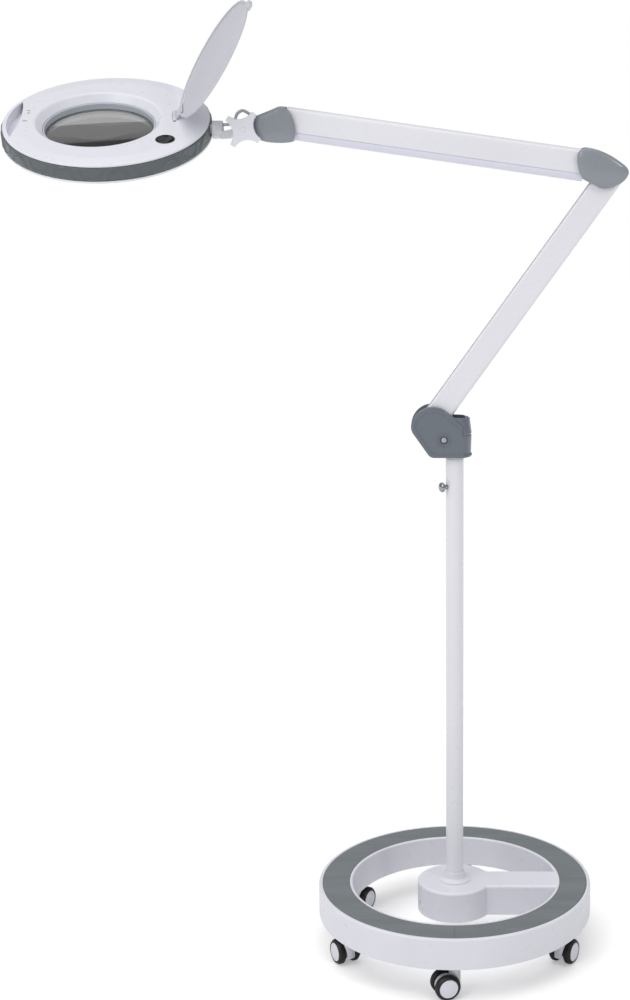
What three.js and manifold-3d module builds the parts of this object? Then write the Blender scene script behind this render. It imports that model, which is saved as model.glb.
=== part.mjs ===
// A magnifying lamp on a weighted ring base with six twin-wheel casters.
//
// A column stands on a hub inside the ring. On top of it a shoulder turns, and carries two
// parallelogram arms in one vertical plane: each arm is a channel with a tie rod and a spring
// inside it. A round lens head with a hinged lid hangs on a fork at the end of the upper arm.
//
// Millimetres, +Z up. The origin is the centre of the hub's flat underside, on the column's axis.
// The arms lie in the X-Z plane, with the head towards -X. The floor is FLOOR below the origin.

import * as THREE from 'three';
import { mergeVertices } from 'three/addons/utils/BufferGeometryUtils.js';
import Module from 'manifold-3d';

const wasm = await Module();
wasm.setup();

// ---------------------------------------------------------------- driving dimensions

const GAP = 0.3;                  // running clearance between neighbouring pieces
const HOLE_GAP = 0.6;             // the same for a pin's hole, whose facets reach inward
const WALL = 2;                   // sheet thickness of tubes, channels and shells

// facets round a full turn
const WIDE = 32;                  // the base ring and the head
const MIDDLE = 16;                // tubes, hubs and wheels
const SMALL = 8;                  // pins and holes

// base
const RING_OUTER = 221;
const RING_INNER = 166;
const BASE_HEIGHT = 50;
const HUB_RADIUS = 60;
const SPOKE_WIDTH = 60;
const INLAY_INNER = 171.3;
const INLAY_OUTER = 214.5;
const INLAY_DEPTH = 2.4;
const CASTER_COUNT = 6;
const CASTER_CIRCLE = 193;
const SOCKET_RADIUS = 11;         // of the posts inside the ring that take the casters' stems
const SOCKET_TOP = 42;
const STEM_RADIUS = 5.5;
const WHEEL_RADIUS = 20;
const WHEEL_WIDTH = 13;
const WHEEL_SPACING = 26;         // between the middle planes of the two wheels
const CASTER_TRAIL = 15;          // from the swivel axis to the axle
const CASTER_STEER = [18, 180];   // degrees off the resting way, of the first casters; the others rest
const FLOOR = 54;
const AXLE_HEIGHT = WHEEL_RADIUS - FLOOR;
const AXLE_RADIUS = 3;

// column
const COLUMN_RADIUS = 14;
const COLUMN_TOP = 747.5;
const BUSH_TOP = 751.5;
const SPIGOT_RADIUS = 8;
const COLLAR_FOOT = 23;           // radius of the collar where it stands on the hub
const COLLAR_HEIGHT = 15;
const SCREW_RADIUS = 3.4;
const SCREW_HEIGHT = 704;
const SCREW_TURN = -150;          // degrees about Z: it points left and a little forward

// shoulder
const SHOULDER_BOTTOM = BUSH_TOP + GAP;
const SHOULDER_HALF_DEPTH = 22.5;
const NOSE_RADIUS = 33.9;
const SHOULDER_PIVOT = [-34, 796];
const SHOULDER_BOLT = [-16.5, 780];

// arms
const ARM_HALF_DEPTH = 14;
const PIN_RADIUS = 4;
const PIN_REACH = 18.2;           // half the length of the pins in the elbow and the front joint
const TIE_OFFSET = 15;            // between a main pin and its tie pin
const TIE_PIN_RADIUS = 2.8;
const CHEEK_INNER = 15.8;         // steel side plates of the elbow and the front joint, from the middle
const CHEEK_OUTER = 18;
const COVER_INNER = 18.6;         // plastic covers outside the side plates
const LOWER_LENGTH = 474;
const LOWER_LEAN = 35.7;          // degrees from upright, towards +X
const UPPER_LENGTH = 468;
const UPPER_RISE = 8;             // degrees above level, towards the head
const ELBOW_UPPER_PIVOT = [205, 1193];

// head
const KNOB_CENTRE = [-311, 1245.5];
const KNOB_BOLT_RADIUS = 4;
const STUB_RADIUS = 8;
const COLLAR_RADIUS = 13.5;
const HEAD_CENTRE = [-516.5, 1248.8];
const HEAD_ROLL = 25;             // degrees, face turned towards -Y
const HEAD_PITCH = 1.3;           // degrees, fork end lower
const HEAD_RADIUS = 153;
const RIM_HALF_HEIGHT = 11.4;
const OPTIC_TURN = 7.5;           // degrees between the fork and the lid hinge, about the head's axis
const OPTIC_SHIFT = -11.8;        // of the lens towards the handle
const LENS_RADIUS = 80;
const LENS_EDGE = 2.2;            // half the glass's thickness at its rim
const LENS_BULGE = 4.5;           // of each face over the rim
const LENS_DROP = -8.5;           // of the lens's middle plane under the roll axis
const RING_LIP = 3;               // width and thickness of the ledge under the glass
const THROAT_RADIUS = 83;
const DISH_RADIUS = 92.5;
const LID_RADIUS = 95.2;
const LID_OPEN = 124;             // degrees from closed
const HINGE_X = 100;              // lid hinge axis, from the head's axis
const HINGE_Z = 14;               // lid hinge axis, above the roll axis
const HINGE_HALF_WIDTH = 17;
const LUG_WIDTH = 5;
const BARREL_RADIUS = 3.2;
const HINGE_PIN_RADIUS = 1.5;
const LID_ARM = 12.5;             // from the hinge axis to the edge of the lid's disc
const LID_RISE = 1;               // of the lid's underside over the hinge axis
const LID_THICKNESS = 3;
const STUB_END = 168;             // of the stub, from the head's axis
const SWITCH_PLACE = [96, -65, 0];
const SWITCH_RADIUS = 11.4;
const DIFFUSER_OUTER = 122;
const LED_COUNT = 12;

// ---------------------------------------------------------------- materials

const finish = (color, roughness, metalness = 0) =>
  new THREE.MeshStandardMaterial({ color, roughness, metalness });

const WHITE = finish(0xdcdce4, 0.35);
const WHITE_PAINT = finish(0xd6d6de, 0.3);
const INLAY_GREY = finish(0x7c8184, 0.7);
const SLATE = finish(0x6f7680, 0.45);
const COVER_GREY = finish(0x838a91, 0.4);
const RIM_GREY = finish(0x5f666a, 0.6);
const TYRE = finish(0x161618, 0.6);
const BLACK = finish(0x0c0c0e, 0.35);
const STEEL = finish(0xa8aab0, 0.3, 1);
const CHROME = finish(0xdfe2e4, 0.12, 1);
const CAST_IRON = finish(0x3c3c3e, 0.7, 0.6);
const LIGHT_PLASTIC = finish(0xc9cacd, 0.4);
const GLASS = finish(0xcfd6d2, 0.05);
const BOARD_WHITE = finish(0xe9e9e4, 0.5);

// ---------------------------------------------------------------- solids

const rad = THREE.MathUtils.degToRad;

/** A three.js geometry as a manifold solid, with its faces turned outward. */
function solid(geometry) {
  const bare = geometry.clone();
  bare.deleteAttribute('normal');
  bare.deleteAttribute('uv');
  const merged = mergeVertices(bare, 1e-4);
  const vertProperties = new Float32Array(merged.attributes.position.array);
  const triVerts = [];
  let volume = 0;
  const a = new THREE.Vector3();
  const b = new THREE.Vector3();
  const c = new THREE.Vector3();
  for (let i = 0; i < merged.index.count; i += 3) {
    const [p, q, r] = [0, 1, 2].map((k) => merged.index.getX(i + k));
    if (p === q || q === r || r === p) continue;
    a.fromBufferAttribute(merged.attributes.position, p);
    b.fromBufferAttribute(merged.attributes.position, q);
    c.fromBufferAttribute(merged.attributes.position, r);
    volume += a.dot(b.cross(c));
    triVerts.push(p, q, r);
  }
  if (volume < 0) {
    for (let i = 0; i < triVerts.length; i += 3) {
      [triVerts[i], triVerts[i + 1]] = [triVerts[i + 1], triVerts[i]];
    }
  }
  const mesh = new wasm.Mesh({ numProp: 3, vertProperties, triVerts: new Uint32Array(triVerts) });
  return new wasm.Manifold(mesh);
}

function geometryOf(manifold) {
  const mesh = manifold.getMesh();
  const geometry = new THREE.BufferGeometry();
  geometry.setAttribute('position', new THREE.BufferAttribute(new Float32Array(mesh.vertProperties), 3));
  geometry.setIndex(new THREE.BufferAttribute(new Uint32Array(mesh.triVerts), 1));
  geometry.computeVertexNormals();
  return geometry;
}

const join = (first, ...others) => others.reduce((sum, other) => sum.add(other), first);
const cut = (first, ...others) => others.reduce((rest, other) => rest.subtract(other), first);

/** A body of revolution about Z. The profile is [radius, z] pairs, and closes on itself or on the axis. */
function lathe(profile, segments = MIDDLE) {
  const points = profile.map(([r, z]) => new THREE.Vector2(r, z));
  return new THREE.LatheGeometry(points, segments).rotateX(Math.PI / 2);
}

/** A ring about Z with a rectangular section. */
function ring(inner, outer, z0, z1, segments = MIDDLE) {
  return lathe([[inner, z0], [outer, z0], [outer, z1], [inner, z1], [inner, z0]], segments);
}

/** An upright cylinder from z0 to z1. */
function rod(radius, z0, z1, segments = MIDDLE) {
  return new THREE.CylinderGeometry(radius, radius, z1 - z0, segments)
    .rotateX(Math.PI / 2)
    .translate(0, 0, (z0 + z1) / 2);
}

/** A cylinder along Y through (x, z). */
function pin(radius, y0, y1, [x, z], segments = SMALL) {
  return new THREE.CylinderGeometry(radius, radius, y1 - y0, segments).translate(x, (y0 + y1) / 2, z);
}

/** The span from near to far out, on the +Y side or the -Y side. */
const spanOf = (side, near, far) => (side > 0 ? [near, far] : [-far, -near]);

function box(x0, x1, y0, y1, z0, z1) {
  return new THREE.BoxGeometry(x1 - x0, y1 - y0, z1 - z0)
    .translate((x0 + x1) / 2, (y0 + y1) / 2, (z0 + z1) / 2);
}

const offsetBy = ([x, z], [dx, dz]) => [x + dx, z + dz];

function polygon(points) {
  return new THREE.Shape(points.map(([x, y]) => new THREE.Vector2(x, y)));
}

/** A shape drawn in X-Z, thick from y0 to y1. A bevel rounds the outline's edges within that thickness. */
function slab(shape, y0, y1, bevel = 0, curveSegments = 4) {
  const options = {
    depth: y1 - y0 - 2 * bevel,
    bevelEnabled: bevel > 0,
    bevelThickness: bevel,
    bevelSize: bevel,
    bevelOffset: -bevel,
    bevelSegments: 1,
    curveSegments,
  };
  return new THREE.ExtrudeGeometry(shape, options).rotateX(Math.PI / 2).translate(0, y1 - bevel, 0);
}

/** A flat-lying shape drawn in X-Y, from z0 to z1. */
function plate(shape, z0, z1, curveSegments = 4) {
  const options = { depth: z1 - z0, bevelEnabled: false, curveSegments };
  return new THREE.ExtrudeGeometry(shape, options).translate(0, 0, z0);
}

/** A beam along X from x0 to x1, with its section drawn in Y-Z. */
function beam(section, x0, x1) {
  const options = { depth: x1 - x0, bevelEnabled: false, curveSegments: 4 };
  const turn = new THREE.Matrix4().makeBasis(
    new THREE.Vector3(0, 1, 0), new THREE.Vector3(0, 0, 1), new THREE.Vector3(1, 0, 0));
  return new THREE.ExtrudeGeometry(section, options).applyMatrix4(turn).translate(x0, 0, 0);
}

/** A round wire of the given radius along a curve. */
function wire(curve, radius, steps, sides = 5) {
  const section = new THREE.Shape();
  section.absarc(0, 0, radius, 0, 2 * Math.PI);
  const options = { steps, extrudePath: curve, bevelEnabled: false, curveSegments: sides };
  return new THREE.ExtrudeGeometry(section, options);
}

/** A bar in X-Z with round ends of the given radius about two points. */
function link([x0, z0], [x1, z1], radius) {
  const along = Math.atan2(z1 - z0, x1 - x0);
  const shape = new THREE.Shape();
  shape.absarc(x0, z0, radius, along + Math.PI / 2, along + 1.5 * Math.PI);
  shape.absarc(x1, z1, radius, along - Math.PI / 2, along + Math.PI / 2);
  shape.closePath();
  return shape;
}

function mesh(name, shape, material) {
  const geometry = shape.isBufferGeometry ? geometryOf(solid(shape)) : geometryOf(shape);
  const result = new THREE.Mesh(geometry, material);
  result.name = name;
  return result;
}

function group(position, rotation, ...children) {
  const result = new THREE.Group();
  result.position.set(...position);
  result.rotation.set(...rotation);
  result.add(...children);
  return result;
}

// ---------------------------------------------------------------- base

/** The outline of the hub with its spoke, seen from above, grown by a margin. */
function hubAndSpoke(margin, reach) {
  const radius = HUB_RADIUS + margin;
  const half = SPOKE_WIDTH / 2 + margin;
  const angle = Math.asin(half / radius);
  const shape = new THREE.Shape();
  shape.absarc(0, 0, radius, angle, 2 * Math.PI - angle);
  shape.lineTo(reach, -half);
  shape.lineTo(reach, half);
  shape.closePath();
  return shape;
}

function casterAngle(index) {
  return rad(-90 + (360 / CASTER_COUNT) * index);
}

/** Calls make(x, y) at each caster's swivel axis. */
function aroundCasters(make) {
  return Array.from({ length: CASTER_COUNT }, (_, index) => make(
    CASTER_CIRCLE * Math.cos(casterAngle(index)), CASTER_CIRCLE * Math.sin(casterAngle(index))));
}

function baseShell() {
  const edge = 6;
  const top = BASE_HEIGHT;
  const body = solid(lathe([
    [RING_INNER, 0], [RING_OUTER, 0], [RING_OUTER, top - edge],
    [RING_OUTER - 0.3 * edge, top - 0.3 * edge], [INLAY_OUTER + 0.6, top],
    [INLAY_INNER - 0.6, top], [RING_INNER, top - 2], [RING_INNER, 0],
  ], WIDE));
  const spoke = solid(plate(hubAndSpoke(0, RING_INNER + 3), 0, top, 10));
  const cavity = solid(ring(RING_INNER + WALL + 1, RING_OUTER - WALL - 1, -1, SOCKET_TOP + 2, WIDE));
  const hubCavity = solid(plate(hubAndSpoke(-WALL - 1, RING_INNER + 1), -1, top - 4, 10));
  const recess = solid(ring(INLAY_INNER - GAP, INLAY_OUTER + GAP, top - INLAY_DEPTH, top + 1, WIDE));
  const hubTop = solid(ring(COLLAR_FOOT + 10, HUB_RADIUS + 1, top - 0.8, top + 1, WIDE));
  const columnHole = solid(rod(COLUMN_RADIUS + GAP, -1, top + 1));
  const sockets = aroundCasters((x, y) => solid(
    rod(SOCKET_RADIUS, 1, SOCKET_TOP + 3, SMALL).translate(x, y, 0)));
  const bores = aroundCasters((x, y) => solid(
    rod(STEM_RADIUS + GAP, 0, SOCKET_TOP - 2).translate(x, y, 0)));
  const shell = cut(join(body, spoke), cavity, hubCavity, recess);
  return cut(join(shell, ...sockets), ...bores, columnHole, hubTop);
}

function baseWeight() {
  const body = solid(ring(RING_INNER + 2 * WALL + 2, RING_OUTER - 2 * WALL - 2, 10, SOCKET_TOP, WIDE));
  const holes = aroundCasters((x, y) => solid(rod(SOCKET_RADIUS + 1.5, 5, 50, SMALL).translate(x, y, 0)));
  return cut(body, ...holes);
}

/** The steel plate that closes the hub underneath and holds the column's foot in a raised socket. */
function hubPlate() {
  const disc = solid(rod(HUB_RADIUS - 2 * WALL - 1, 0, 5));
  const socket = solid(ring(COLUMN_RADIUS + GAP, COLUMN_RADIUS + 6, 4, 30));
  return join(disc, socket);
}

function inlay(index) {
  const joint = 0.25 / INLAY_OUTER;
  const start = (Math.PI / 2) * index + joint;
  const end = (Math.PI / 2) * (index + 1) - joint;
  const shape = new THREE.Shape();
  shape.absarc(0, 0, INLAY_OUTER, start, end);
  shape.absarc(0, 0, INLAY_INNER, end, start, true);
  shape.closePath();
  return plate(shape, BASE_HEIGHT - INLAY_DEPTH + 0.05, BASE_HEIGHT + 0.3, WIDE / 8);
}

function base() {
  return group([0, 0, 0], [0, 0, 0],
    mesh('base_shell', baseShell(), WHITE),
    mesh('base_weight', baseWeight(), CAST_IRON),
    mesh('hub_plate', hubPlate(), STEEL),
    ...['right_rear', 'left_rear', 'left_front', 'right_front'].map(
      (place, index) => mesh(`inlay_${place}`, inlay(index), INLAY_GREY)));
}

// ---------------------------------------------------------------- column

function column() {
  const bore = COLUMN_RADIUS + GAP;
  const foot = BASE_HEIGHT + GAP;
  const collar = lathe([
    [bore, foot], [COLLAR_FOOT, foot], [COLLAR_FOOT - 1.2, foot + 1.5],
    [bore + 4.1, foot + 0.3 * COLLAR_HEIGHT], [bore + 2.1, foot + 0.65 * COLLAR_HEIGHT],
    [bore + 1.3, foot + COLLAR_HEIGHT], [bore, foot + COLLAR_HEIGHT], [bore, foot],
  ]);
  const tube = cut(
    solid(ring(COLUMN_RADIUS - WALL, COLUMN_RADIUS, 5 + GAP, COLUMN_TOP)),
    solid(screwRod(SCREW_RADIUS + GAP, 5, 20)));
  const sleeve = COLUMN_RADIUS - WALL - GAP;
  const bushBore = SPIGOT_RADIUS + GAP;
  const bush = lathe([
    [bushBore, COLUMN_TOP - 24], [sleeve, COLUMN_TOP - 24], [sleeve, COLUMN_TOP + GAP],
    [COLUMN_RADIUS, COLUMN_TOP + GAP], [COLUMN_RADIUS, BUSH_TOP], [bushBore, BUSH_TOP],
    [bushBore, COLUMN_TOP - 24],
  ]);
  return group([0, 0, 0], [0, 0, 0],
    mesh('column_collar', collar, WHITE),
    mesh('column_tube', tube, WHITE_PAINT),
    mesh('column_bush', bush, LIGHT_PLASTIC),
    mesh('thumb_screw', thumbScrew(), CHROME));
}

/** A cylinder along the thumb screw's axis, from near to far out from the column's axis. */
function screwRod(radius, near, far, segments = SMALL) {
  return new THREE.CylinderGeometry(radius, radius, far - near, segments)
    .rotateZ(Math.PI / 2)
    .translate((near + far) / 2, 0, 0)
    .rotateZ(rad(SCREW_TURN))
    .translate(0, 0, SCREW_HEIGHT);
}

function thumbScrew() {
  const headStart = 19.5;
  const head = lathe([
    [0, headStart], [6.2, headStart], [7.6, headStart + 1.2], [7.6, headStart + 4.6],
    [6, headStart + 6.4], [0, headStart + 7.2],
  ]).rotateY(Math.PI / 2).rotateZ(rad(SCREW_TURN)).translate(0, 0, SCREW_HEIGHT);
  return join(solid(screwRod(SCREW_RADIUS, SPIGOT_RADIUS + 0.6, headStart + 1)), solid(head));
}

// ---------------------------------------------------------------- casters

/** One wheel about Y, centred on its own middle plane, with its domed cap towards +Y. */
function wheel() {
  const half = WHEEL_WIDTH / 2;
  const bore = AXLE_RADIUS + 0.35;
  return lathe([
    [bore, -half], [WHEEL_RADIUS - 2, -half], [WHEEL_RADIUS, -half + 2], [WHEEL_RADIUS, half - 4],
    [WHEEL_RADIUS - 4, half - 0.6], [0, half], [0, half - 3], [bore, half - 3], [bore, -half],
  ]).rotateX(-Math.PI / 2);
}

/** The moulded body: a stem in the ring, a pillar between the wheels, a fender and a fixed axle. */
function casterBody() {
  const neck = WHEEL_SPACING / 2 - WHEEL_WIDTH / 2 - 1;
  const stem = solid(rod(STEM_RADIUS, -12, SOCKET_TOP - 4, SMALL));
  const flange = solid(rod(SOCKET_RADIUS + 1, -10, -GAP, SMALL));
  const pillar = solid(rod(neck + 3, AXLE_HEIGHT - 6, -1, SMALL));
  const web = new THREE.Shape();
  web.absarc(CASTER_TRAIL, AXLE_HEIGHT, WHEEL_RADIUS - 4, 0, Math.PI);
  web.lineTo(CASTER_TRAIL - WHEEL_RADIUS + 4, AXLE_HEIGHT - 4);
  web.lineTo(CASTER_TRAIL + WHEEL_RADIUS - 4, AXLE_HEIGHT - 4);
  web.closePath();
  const middle = solid(slab(web, -neck, neck, 0, 8));
  const reach = WHEEL_SPACING / 2 + WHEEL_WIDTH / 2 - 4;
  const axle = solid(pin(AXLE_RADIUS, -reach, reach, [CASTER_TRAIL, AXLE_HEIGHT]));
  const clearance = [-1, 1].map((side) => solid(pin(WHEEL_RADIUS + 1.2,
    side * WHEEL_SPACING / 2 - WHEEL_WIDTH / 2 - 0.7, side * WHEEL_SPACING / 2 + WHEEL_WIDTH / 2 + 3,
    [CASTER_TRAIL, AXLE_HEIGHT])));
  return join(cut(join(pillar, middle, stem, flange), ...clearance), axle);
}

/** A caster at rest: its axle points at the ring's centre, and it trails clockwise seen from above. */
function caster(index) {
  const angle = casterAngle(index);
  const steer = rad(CASTER_STEER[index] ?? 0);
  const outward = Math.cos(steer) > 0 ? 1 : -1;
  const wheels = [['outer', outward], ['inner', -outward]].map(([side, way]) => {
    const result = mesh(`caster_${index + 1}_wheel_${side}`, wheel(), TYRE);
    result.position.set(CASTER_TRAIL, way * WHEEL_SPACING / 2, AXLE_HEIGHT);
    result.rotation.z = way > 0 ? 0 : Math.PI;
    return result;
  });
  return group([CASTER_CIRCLE * Math.cos(angle), CASTER_CIRCLE * Math.sin(angle), 0],
    [0, 0, angle - Math.PI / 2 + steer],
    mesh(`caster_${index + 1}_body`, casterBody(), WHITE), ...wheels);
}

// ---------------------------------------------------------------- shoulder

const LOWER_TIE = [-TIE_OFFSET * Math.cos(rad(25)), TIE_OFFSET * Math.sin(rad(25))];

/** The side view of the shoulder: a round nose on the left and a straight slope down to the hub. */
function shoulderOutline() {
  const [noseX, noseZ] = [SHOULDER_PIVOT[0] + 0.5, SHOULDER_PIVOT[1] + 0.9];
  const slope = rad(50);
  const right = 13;
  const tangentX = noseX + NOSE_RADIUS * Math.cos(slope);
  const tangentZ = noseZ + NOSE_RADIUS * Math.sin(slope);
  const shape = new THREE.Shape();
  shape.moveTo(right, SHOULDER_BOTTOM);
  shape.lineTo(-32.5, SHOULDER_BOTTOM);
  shape.quadraticCurveTo(-37.5, SHOULDER_BOTTOM, -41, SHOULDER_BOTTOM + 5);
  shape.lineTo(-64, SHOULDER_BOTTOM + 38);
  shape.quadraticCurveTo(noseX - NOSE_RADIUS, SHOULDER_BOTTOM + 43, noseX - NOSE_RADIUS, noseZ);
  shape.absarc(noseX, noseZ, NOSE_RADIUS, Math.PI, slope, true);
  shape.lineTo(right, tangentZ - (right - tangentX) * Math.tan(Math.PI / 2 - slope));
  shape.closePath();
  return shape;
}

function shoulderHalf(side) {
  const top = 814;
  const plates = solid(slab(shoulderOutline(), -SHOULDER_HALF_DEPTH, SHOULDER_HALF_DEPTH, 2, 7));
  const hub = solid(lathe([
    [0, SHOULDER_BOTTOM], [26, SHOULDER_BOTTOM], [27, SHOULDER_BOTTOM + 2], [25.4, SHOULDER_BOTTOM + 6],
    [26, 785], [25, 786.5], [26.3, 789], [24, top], [0, top],
  ]));
  const reach = SHOULDER_HALF_DEPTH - 0.2;
  const flat = solid(box(-40, 40, -reach, reach, 700, 880));
  const setBack = solid(box(-40, 40, -20, 20, 700, 880));
  const above = solid(box(-40, 40, -40, 40, 787.5, 880));
  const body = join(plates, cut(hub, above).intersect(flat), hub.intersect(above).intersect(setBack));
  const clear = ARM_HALF_DEPTH + 0.8;
  const slot = solid(slab(polygon([
    [-90, 700], [-22.5, 700], [-22.5, 786.3], [25, 817.1], [25, 880], [-90, 880],
  ]), -clear, clear));
  const bore = solid(rod(SPIGOT_RADIUS + GAP, SHOULDER_BOTTOM - 1, 779));
  const pinBore = solid(pin(PIN_RADIUS + HOLE_GAP, -19, 19, SHOULDER_PIVOT));
  const boltBore = solid(pin(3 + GAP, -40, 40, SHOULDER_BOLT));
  const counterbore = solid(pin(7, ...spanOf(side, 20, 40), SHOULDER_BOLT));
  const [y0, y1] = spanOf(side, GAP / 2, 40);
  const half = solid(box(-90, 40, y0, y1, 700, 880));
  return cut(body, slot, bore, pinBore, boltBore, counterbore).intersect(half);
}

function shoulder() {
  const tiePin = solid(pin(TIE_PIN_RADIUS, 4, 16, offsetBy(SHOULDER_PIVOT, LOWER_TIE)));
  const boltHead = solid(pin(4.2, -22.6, -20.3, SHOULDER_BOLT));
  const boltNut = solid(pin(5.5, 20.3, 22.6, SHOULDER_BOLT, 6));
  return group([0, 0, 0], [0, 0, 0],
    mesh('shoulder_spigot', rod(SPIGOT_RADIUS, COLUMN_TOP - 60, 777), STEEL),
    mesh('shoulder_front_half', shoulderHalf(-1), SLATE),
    mesh('shoulder_rear_half', join(shoulderHalf(1), tiePin), SLATE),
    mesh('shoulder_pin', pin(PIN_RADIUS, -18.7, 18.7, SHOULDER_PIVOT), STEEL),
    mesh('shoulder_bolt', join(solid(pin(3, -21, 21, SHOULDER_BOLT)), boltHead, boltNut), CHROME));
}

// ---------------------------------------------------------------- arms

/** Two ears along the inside of a channel's walls, round about the pivot at x, with their pin holes. */
function ears(x, towards, radius = 8.6) {
  const shape = link([x + towards * 34, 0], [x, 0], radius);
  return [-1, 1].map((side) => {
    const [y0, y1] = spanOf(side, 10.6, 13);
    return cut(solid(slab(shape, y0, y1)), solid(pin(PIN_RADIUS + HOLE_GAP, y0 - 1, y1 + 1, [x, 0])));
  });
}

/** Room in the rear wall for the tie pin's swing about the pivot at x, on the +Z or -Z side. */
function tieNotch(x, side) {
  const reach = TIE_OFFSET + TIE_PIN_RADIUS + 1.2;
  const [z0, z1] = side > 0 ? [9, 40] : [-40, -9];
  return solid(box(x - reach, x + reach, 10.2, 20, z0, z1));
}

/** A flat bar from pin to pin, in the arm's own frame. */
function tieRod(from, length) {
  const to = [from[0] + length, from[1]];
  const holes = [from, to].map((at) => solid(pin(TIE_PIN_RADIUS + HOLE_GAP, 0, 20, at)));
  return cut(solid(slab(link(from, to, 4.8), 5.2, 9)), ...holes);
}

class Helix extends THREE.Curve {
  constructor(radius, length, turns, centre) {
    super();
    Object.assign(this, { radius, length, turns, centre });
  }

  getPoint(t, target = new THREE.Vector3()) {
    const angle = 2 * Math.PI * this.turns * t;
    const [x, y, z] = this.centre;
    const [across, up] = [this.radius * Math.cos(angle), this.radius * Math.sin(angle)];
    return target.set(x + this.length * t, y + across, z + up);
  }
}

function spring(start, length, z) {
  const turns = 9;
  return wire(new Helix(4.8, length, turns, [start, -4, z]), 1.1, turns * 6, 2);
}

/** A rounded rectangle of channel section, open towards +Z by a slot. */
function lowerSection(z0, z1) {
  const y = ARM_HALF_DEPTH;
  const round = 6;
  const lip = 7;
  const inner = y - WALL;
  return polygon([
    [-y, z0 + round], [-y + 0.3 * round, z0 + 0.3 * round], [-y + round, z0],
    [y - round, z0], [y - 0.3 * round, z0 + 0.3 * round], [y, z0 + round],
    [y, z1 - round], [y - 0.3 * round, z1 - 0.3 * round], [y - round, z1], [lip, z1], [lip, z1 - WALL],
    [inner - 3, z1 - WALL], [inner, z1 - WALL - 4],
    [inner, z0 + WALL + 4], [inner - 4, z0 + WALL], [-inner + 4, z0 + WALL], [-inner, z0 + WALL + 4],
    [-inner, z1 - WALL - 4], [-inner + 3, z1 - WALL], [-lip, z1 - WALL], [-lip, z1],
    [-y + round, z1], [-y + 0.3 * round, z1 - 0.3 * round], [-y, z1 - round],
  ]);
}

function inArmFrame([dx, dz], turn) {
  return [dx * Math.cos(turn) - dz * Math.sin(turn), dx * Math.sin(turn) + dz * Math.cos(turn)];
}

function lowerArm() {
  const turn = -rad(90 - LOWER_LEAN);
  const channel = solid(beam(lowerSection(-13.2, 24.8), 5, LOWER_LENGTH - 5));
  const notched = cut(channel, tieNotch(0, 1), tieNotch(LOWER_LENGTH, 1));
  const arm = join(notched, ...ears(0, 1), ...ears(LOWER_LENGTH, -1));
  const tie = inArmFrame(LOWER_TIE, turn);
  return group([SHOULDER_PIVOT[0], 0, SHOULDER_PIVOT[1]], [0, turn, 0],
    mesh('lower_arm', arm, WHITE_PAINT),
    mesh('lower_tie_rod', tieRod(tie, LOWER_LENGTH), STEEL),
    mesh('lower_spring', spring(60, 190, 1), STEEL));
}

// the elbow's pin for the lower arm, from the shoulder's by the arm's length and lean
const ELBOW_LOWER_PIVOT = offsetBy(SHOULDER_PIVOT,
  [LOWER_LENGTH * Math.sin(rad(LOWER_LEAN)), LOWER_LENGTH * Math.cos(rad(LOWER_LEAN))]);

const UPPER_TIE_ANGLE = rad(250.5);
const UPPER_TIE = [TIE_OFFSET * Math.cos(UPPER_TIE_ANGLE), TIE_OFFSET * Math.sin(UPPER_TIE_ANGLE)];

// the front pin of the upper arm, at the head's end
const FRONT_PIVOT = offsetBy(ELBOW_UPPER_PIVOT,
  [-UPPER_LENGTH * Math.cos(rad(UPPER_RISE)), UPPER_LENGTH * Math.sin(rad(UPPER_RISE))]);

const CREASE = -14;               // where the upper arm's channel meets its bottom strip

/** Mirrors half a section to the other side, so an outline is written once. */
const bothSides = (half) => polygon([...half, ...half.map(([y, z]) => [-y, z]).reverse()]);

function upperSection() {
  return bothSides([
    [-4, 21.8], [-8.5, 20.4], [-12, 15.5], [-14.2, 5], [-15, CREASE],
    [-13, CREASE], [-12.2, 5], [-10.2, 14.5], [-7.2, 18.6], [-3.4, 19.8],
  ]);
}

function stripSection() {
  return bothSides([
    [-3, -25], [-10.4, -25], [-14, -18], [-14.8, CREASE - GAP],
    [-12.8, CREASE - GAP], [-12.1, -17.3], [-9.3, -23], [-2.5, -23],
  ]);
}

function upperArm() {
  const turn = rad(UPPER_RISE);
  const channel = solid(beam(upperSection(), -UPPER_LENGTH + 8, -8));
  const notched = cut(channel, tieNotch(0, -1), tieNotch(-UPPER_LENGTH, -1));
  const arm = join(notched, ...ears(0, -1), ...ears(-UPPER_LENGTH, 1));
  const tie = inArmFrame(UPPER_TIE, turn);
  return group([ELBOW_UPPER_PIVOT[0], 0, ELBOW_UPPER_PIVOT[1]], [0, turn, 0],
    mesh('upper_arm', arm, WHITE_PAINT),
    mesh('upper_arm_strip', beam(stripSection(), -UPPER_LENGTH + 16, -12), WHITE),
    mesh('upper_tie_rod', tieRod([tie[0] - UPPER_LENGTH, tie[1]], UPPER_LENGTH), STEEL),
    mesh('upper_spring', spring(-250, 190, 5), STEEL));
}

// ---------------------------------------------------------------- elbow

/** The side view of the elbow's cover: a soft five-sided shape round both pivots. */
function elbowOutline(inset) {
  const shape = new THREE.Shape();
  shape.moveTo(181.6 + inset, 1206);
  shape.quadraticCurveTo(182 + inset, 1218 - inset, 197 + inset, 1219.5 - inset);
  shape.quadraticCurveTo(224, 1216 - inset, 250 - inset, 1195.5 - inset);
  shape.quadraticCurveTo(260 - inset, 1189, 258.5 - inset, 1180.5);
  shape.quadraticCurveTo(254 - inset, 1169, 240 - inset, 1163.5 + inset);
  shape.quadraticCurveTo(226, 1157 + inset, 216 + inset, 1160.5 + inset);
  shape.lineTo(190 + inset, 1174 + inset);
  shape.quadraticCurveTo(181.5 + inset, 1188, 181.6 + inset, 1206);
  return shape;
}

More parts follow.
